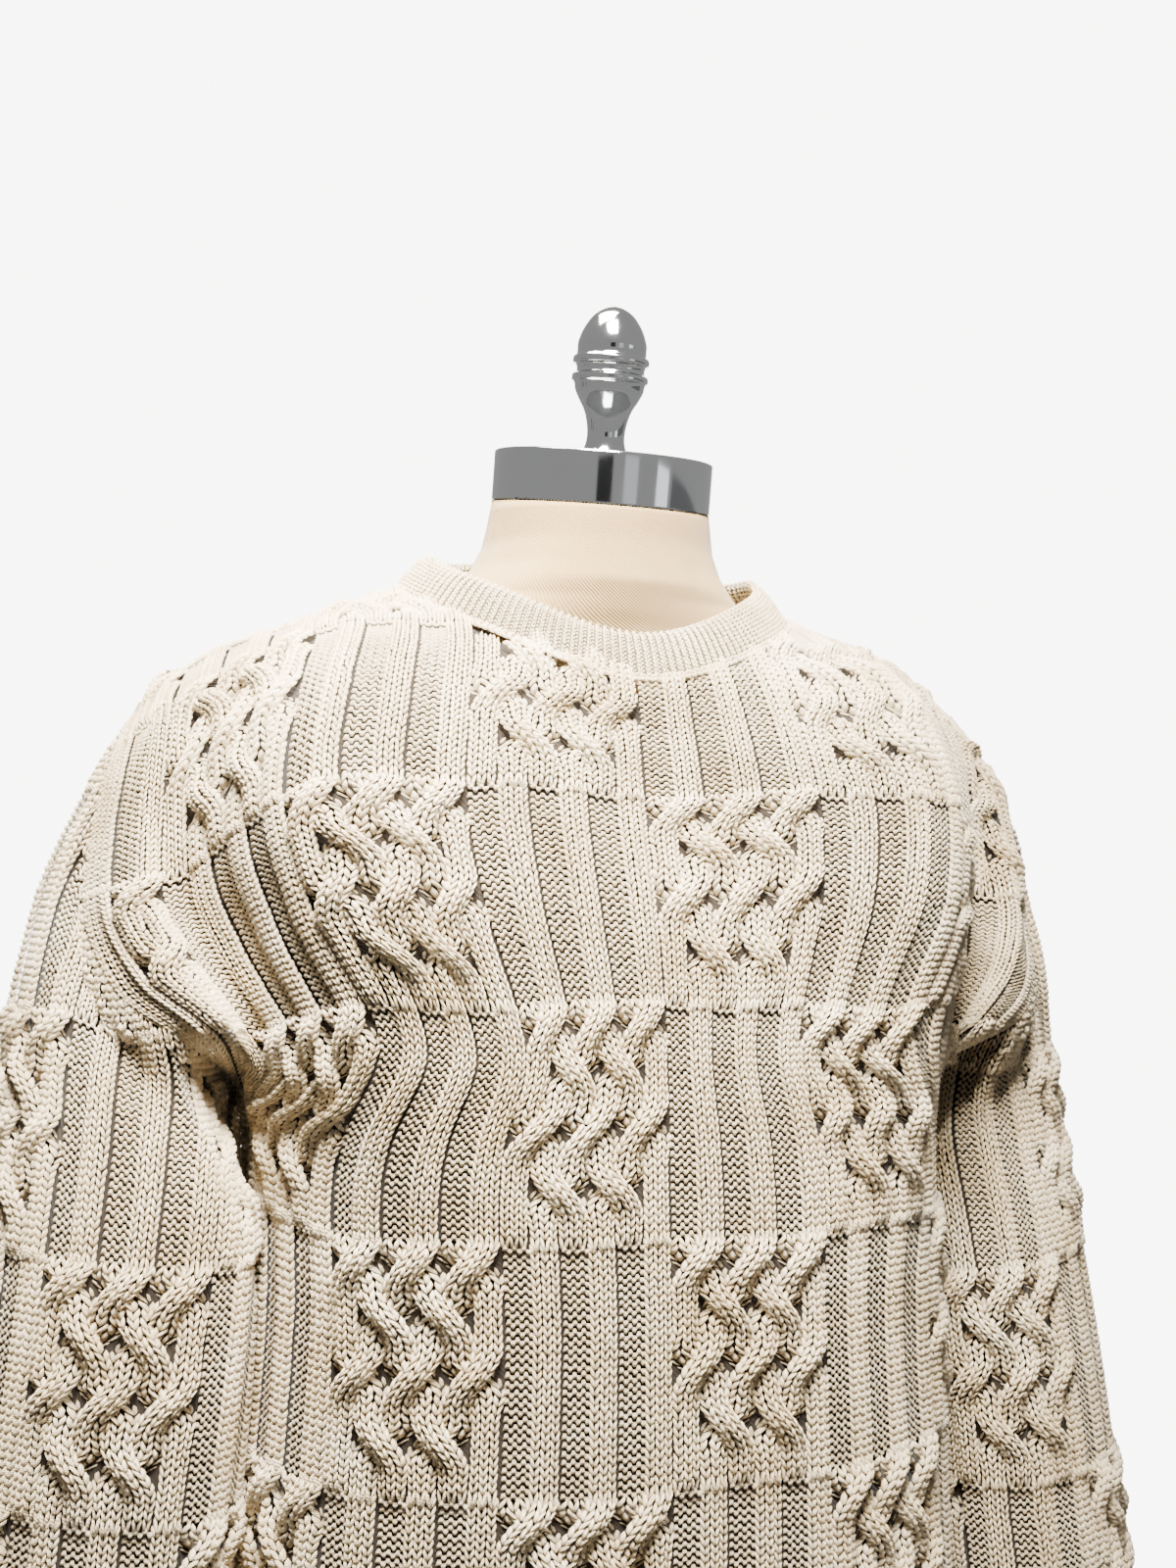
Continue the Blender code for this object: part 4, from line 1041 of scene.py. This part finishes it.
# cream cotton canvas: matt, with a fine slanting twill and a little soiling
canvas, tree, shader = new_material("cream_canvas_twill", 0.86, Sheen_Weight=0.15, Specular_IOR_Level=0.3)
where = node(tree, "ShaderNodeTexCoord").outputs["Object"]
thread = node(tree, "ShaderNodeUVMap", uv_map="yarn").outputs["UV"]
twill = node(tree, "ShaderNodeTexWave", {"Vector": thread}, bands_direction="DIAGONAL",
             Scale=430.0, Distortion=0.5, Detail=1.0)
soil = node(tree, "ShaderNodeTexNoise", {"Vector": where}, Scale=14.0, Detail=4.0)
ramp = node(tree, "ShaderNodeValToRGB", {"Fac": soil.outputs["Fac"]})
for stop, (position, code) in zip(ramp.color_ramp.elements, ((0.35, "#a98b5c"), (0.65, "#bb9f70"))):
    stop.position, stop.color = position, srgb(code)
fade = node(tree, "ShaderNodeMapRange", {"Value": twill.outputs["Fac"]}, To_Min=0.86, To_Max=1.0)
tree.links.new(multiply(tree, ramp.outputs["Color"], fade.outputs["Result"]), shader.inputs["Base Color"])
weave = node(tree, "ShaderNodeBump", {"Height": twill.outputs["Fac"]}, Strength=0.6, Distance=0.0003)
tree.links.new(weave.outputs["Normal"], shader.inputs["Normal"])
girth = np.broadcast_to((turn - turn[0]) * 0.06, rings.shape[:2])
wrap = np.stack([girth, rings[..., 2]], -1).reshape(-1, 2)
quads = quads_round(len(rings), SIDES)
torso = add_piece("form_torso_canvas", rings.reshape(-1, 3), quads, canvas, uvs=wrap)
close_ends(torso.data)
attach(torso, "root")
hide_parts("form_torso")

# ---- neck cap and finial ---------------------------------------------------
# A spun metal cap over the neck and a turned acorn finial screwed into it,
# both polished and chrome plated.
# polished chrome plate: a near mirror, cool grey, with faint smears that dull it in places
chrome, tree, shader = new_material("polished_chrome", 0.07, Metallic=1.0, Base_Color=srgb("#c9cbcc"))
where = node(tree, "ShaderNodeTexCoord").outputs["Object"]
smear = node(tree, "ShaderNodeTexNoise", {"Vector": where}, Scale=60.0, Detail=5.0)
dull = node(tree, "ShaderNodeMapRange", {"Value": smear.outputs["Fac"]},
            From_Min=0.35, From_Max=0.75, To_Min=0.05, To_Max=0.14)
tree.links.new(dull.outputs["Result"], shader.inputs["Roughness"])


def lathe(name, base_point, axis, profile, sides, material):
    """Turned piece: profile gives distance along the axis and radius."""
    fore = unit(np.cross(axis, (1.0, 0.0, 0.0)))
    t = np.arange(sides) * 2 * math.pi / sides
    around_ = np.cos(t)[:, None] * np.array([1.0, 0, 0]) + np.sin(t)[:, None] * fore
    profile = np.array(profile)
    centres = np.array(base_point) + axis * profile[:, :1]
    xyz = centres[:, None] + around_[None] * profile[:, 1][:, None, None]
    made = add_piece(name, xyz.reshape(-1, 3), quads_round(len(profile), sides), material)
    close_ends(made.data, outward=True)
    made.data.set_sharp_from_angle(angle=math.radians(35))
    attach(made, "root")
    return made


def rounded(height, radius, size):
    """Profile points of a rounded upper edge."""
    return [(height - size * (1 - math.sin(q)), radius - size * (1 - math.cos(q)))
            for q in np.linspace(0, math.pi / 2, 7)]


cap_profile = [(0.0, CAP_RADIUS - 0.0006), (0.0003, CAP_RADIUS - 0.0001),
               (0.0009, CAP_RADIUS), (0.001, CAP_RADIUS)]
cap_profile += rounded(CAP_HEIGHT, CAP_RADIUS, CAP_EDGE)
cap_profile += [(CAP_HEIGHT, CAP_RADIUS - CAP_EDGE - 0.002), (CAP_HEIGHT, 0.014)]
cap = lathe("neck_cap_chrome", np.array(CAP_TOP) - axis * CAP_HEIGHT, axis, cap_profile, 160, chrome)
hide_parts("neck_cap")
# height above the cap, radius: stem, flared cup, two beads with a groove, rounded tip
FINIAL = (
    (0.0000, .0126), (0.0016, .0126), (0.0040, .0113), (0.0200, .0113), (0.0240, .0127),
    (0.0290, .0156), (0.0340, .0180), (0.0378, .0190), (0.0384, .0198), (0.0400, .0201), (0.0416, .0198),
    (0.0424, .0184), (0.0446, .0178), (0.0466, .0184), (0.0474, .0198), (0.0490, .0201), (0.0506, .0198),
    (0.0514, .0190), (0.0585, .0180), (0.0670, .0147), (0.0730, .0100), (0.0760, .0052), (0.0774, .0006),
)
rows = np.array(FINIAL)
steps = run_along(rows, 0)
fine = curve(steps, rows, np.sort(np.r_[steps, np.linspace(0, steps[-1], 120)]))
finial = lathe("finial_chrome", np.array(CAP_TOP) + axis * 0.0003, axis, fine, 96, chrome)
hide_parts("finial")

# ---- pole and base ---------------------------------------------------------
# A steel pole fixed in a heavy round steel base, both with a satin finish.
# The form sits on the pole's top end.
POLE_RADIUS, BASE_RADIUS, BASE_HEIGHT, BASE_EDGE = 0.016, 0.160, 0.012, 0.003
# satin steel: grey metal with a fine turned grain that blurs what it mirrors
satin, tree, shader = new_material("satin_steel", 0.32, Metallic=1.0, Base_Color=srgb("#a9abad"))
where = node(tree, "ShaderNodeTexCoord").outputs["Object"]
turned = node(tree, "ShaderNodeMapping", {"Vector": where}, Scale=(1.0, 1.0, 60.0))
grain = node(tree, "ShaderNodeTexNoise", {"Vector": turned.outputs["Vector"]}, Scale=40.0, Detail=3.0)
dull = node(tree, "ShaderNodeMapRange", {"Value": grain.outputs["Fac"]}, To_Min=0.22, To_Max=0.42)
tree.links.new(dull.outputs["Result"], shader.inputs["Roughness"])
up_axis = np.array([0.0, 0.0, 1.0])
pole_length = FORM[0][0] - BASE_HEIGHT - 0.0006
pole = lathe("pole_steel", (0, 0, BASE_HEIGHT + 0.0003), up_axis,
             [(0, POLE_RADIUS), (pole_length, POLE_RADIUS)], 64, satin)
base_profile = [(0.0, BASE_RADIUS - 0.0008), (0.0008, BASE_RADIUS)]
base_profile += rounded(BASE_HEIGHT, BASE_RADIUS, BASE_EDGE) + [(BASE_HEIGHT, 0.02)]
base_plate = lathe("base_steel", (0, 0, 0), up_axis, base_profile, 160, satin)
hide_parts("pole")
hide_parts("base")

# ---- studio ----------------------------------------------------------------
# A plain pale round floor, a pale room, and soft lamps above the front and behind.
FLOOR_RADIUS = 0.6
rim = np.linspace(0, 2 * math.pi, 65)[:-1]
disc = np.stack([FLOOR_RADIUS * np.cos(rim), FLOOR_RADIUS * np.sin(rim), 0 * rim], -1)
pale = new_material("pale_floor", 0.9, Base_Color=srgb("#d6d5d2"))[0]
floor = add_piece("floor", disc, [range(64)], pale)
floor.location.z = -0.0005
world = bpy.data.worlds.new("studio")
bpy.context.scene.world = world
world.use_nodes = True
sky = world.node_tree
# the room lights the cloth faintly, shows brighter in the chrome, and white behind it all
seen = node(sky, "ShaderNodeLightPath").outputs["Is Camera Ray"]
path = node(sky, "ShaderNodeLightPath").outputs["Is Glossy Ray"]
fill = node(sky, "ShaderNodeMapRange", {"Value": path}, To_Min=0.10, To_Max=0.46)
level = node(sky, "ShaderNodeMapRange", {"Value": seen, "To Min": fill.outputs["Result"]}, To_Max=8.8)
sky.nodes["Background"].inputs["Color"].default_value = srgb("#f7f6f4")
sky.links.new(level.outputs["Result"], sky.nodes["Background"].inputs["Strength"])
# cards round the room, dark and lit, give the chrome its bands: bearings from and to, and glow
CARDS = ((-118, -115, 0.02), (-104, -102, 0.02), (-24, -9, 0.03),
         (3, 17, 0.95), (38, 52, 2.2), (56, 100, 0.18))
CARD_AWAY, CARD_LOW, CARD_HIGH = 2.4, 0.62, 1.10
for number, (start, end, glow) in enumerate(CARDS):
    paint, tree, shader = new_material(
        f"card_{number}", 0.9, Base_Color=srgb("#101012"), Emission_Color=srgb("#f4f6f8"),
        Emission_Strength=glow)
    ways = np.radians([start, end])
    (x0, y0), (x1, y1) = np.stack([CARD_AWAY * np.sin(ways), -CARD_AWAY * np.cos(ways)], -1)
    corners = [(x0, y0, CARD_LOW), (x1, y1, CARD_LOW), (x1, y1, CARD_HIGH), (x0, y0, CARD_HIGH)]
    add_piece(f"card_{number}", corners, [(0, 1, 2, 3)], paint)
# name, place, width in metres, watts, spread in degrees
LAMPS = (
    ("key", (-0.18, -0.50, 1.62), 0.40, 17.0, 54),
    ("top", (-0.20, 0.00, 1.85), 0.6, 36.0, 180),
    ("back", (0.5, 1.3, 1.3), 1.0, 18.0, 180),
)
CHEST = Vector((-0.09, -0.07, 0.83))
for name, spot, size, power, spread in LAMPS:
    lamp = bpy.data.objects.new(name, bpy.data.lights.new(name, "AREA"))
    lamp.data.size, lamp.data.energy = size, power
    lamp.data.color = (1.0, 0.95, 0.87)
    lamp.data.spread = math.radians(spread)
    lamp.location = spot
    lamp.rotation_euler = (CHEST - Vector(spot)).to_track_quat("-Z", "Y").to_euler()
    bpy.context.scene.collection.objects.link(lamp)
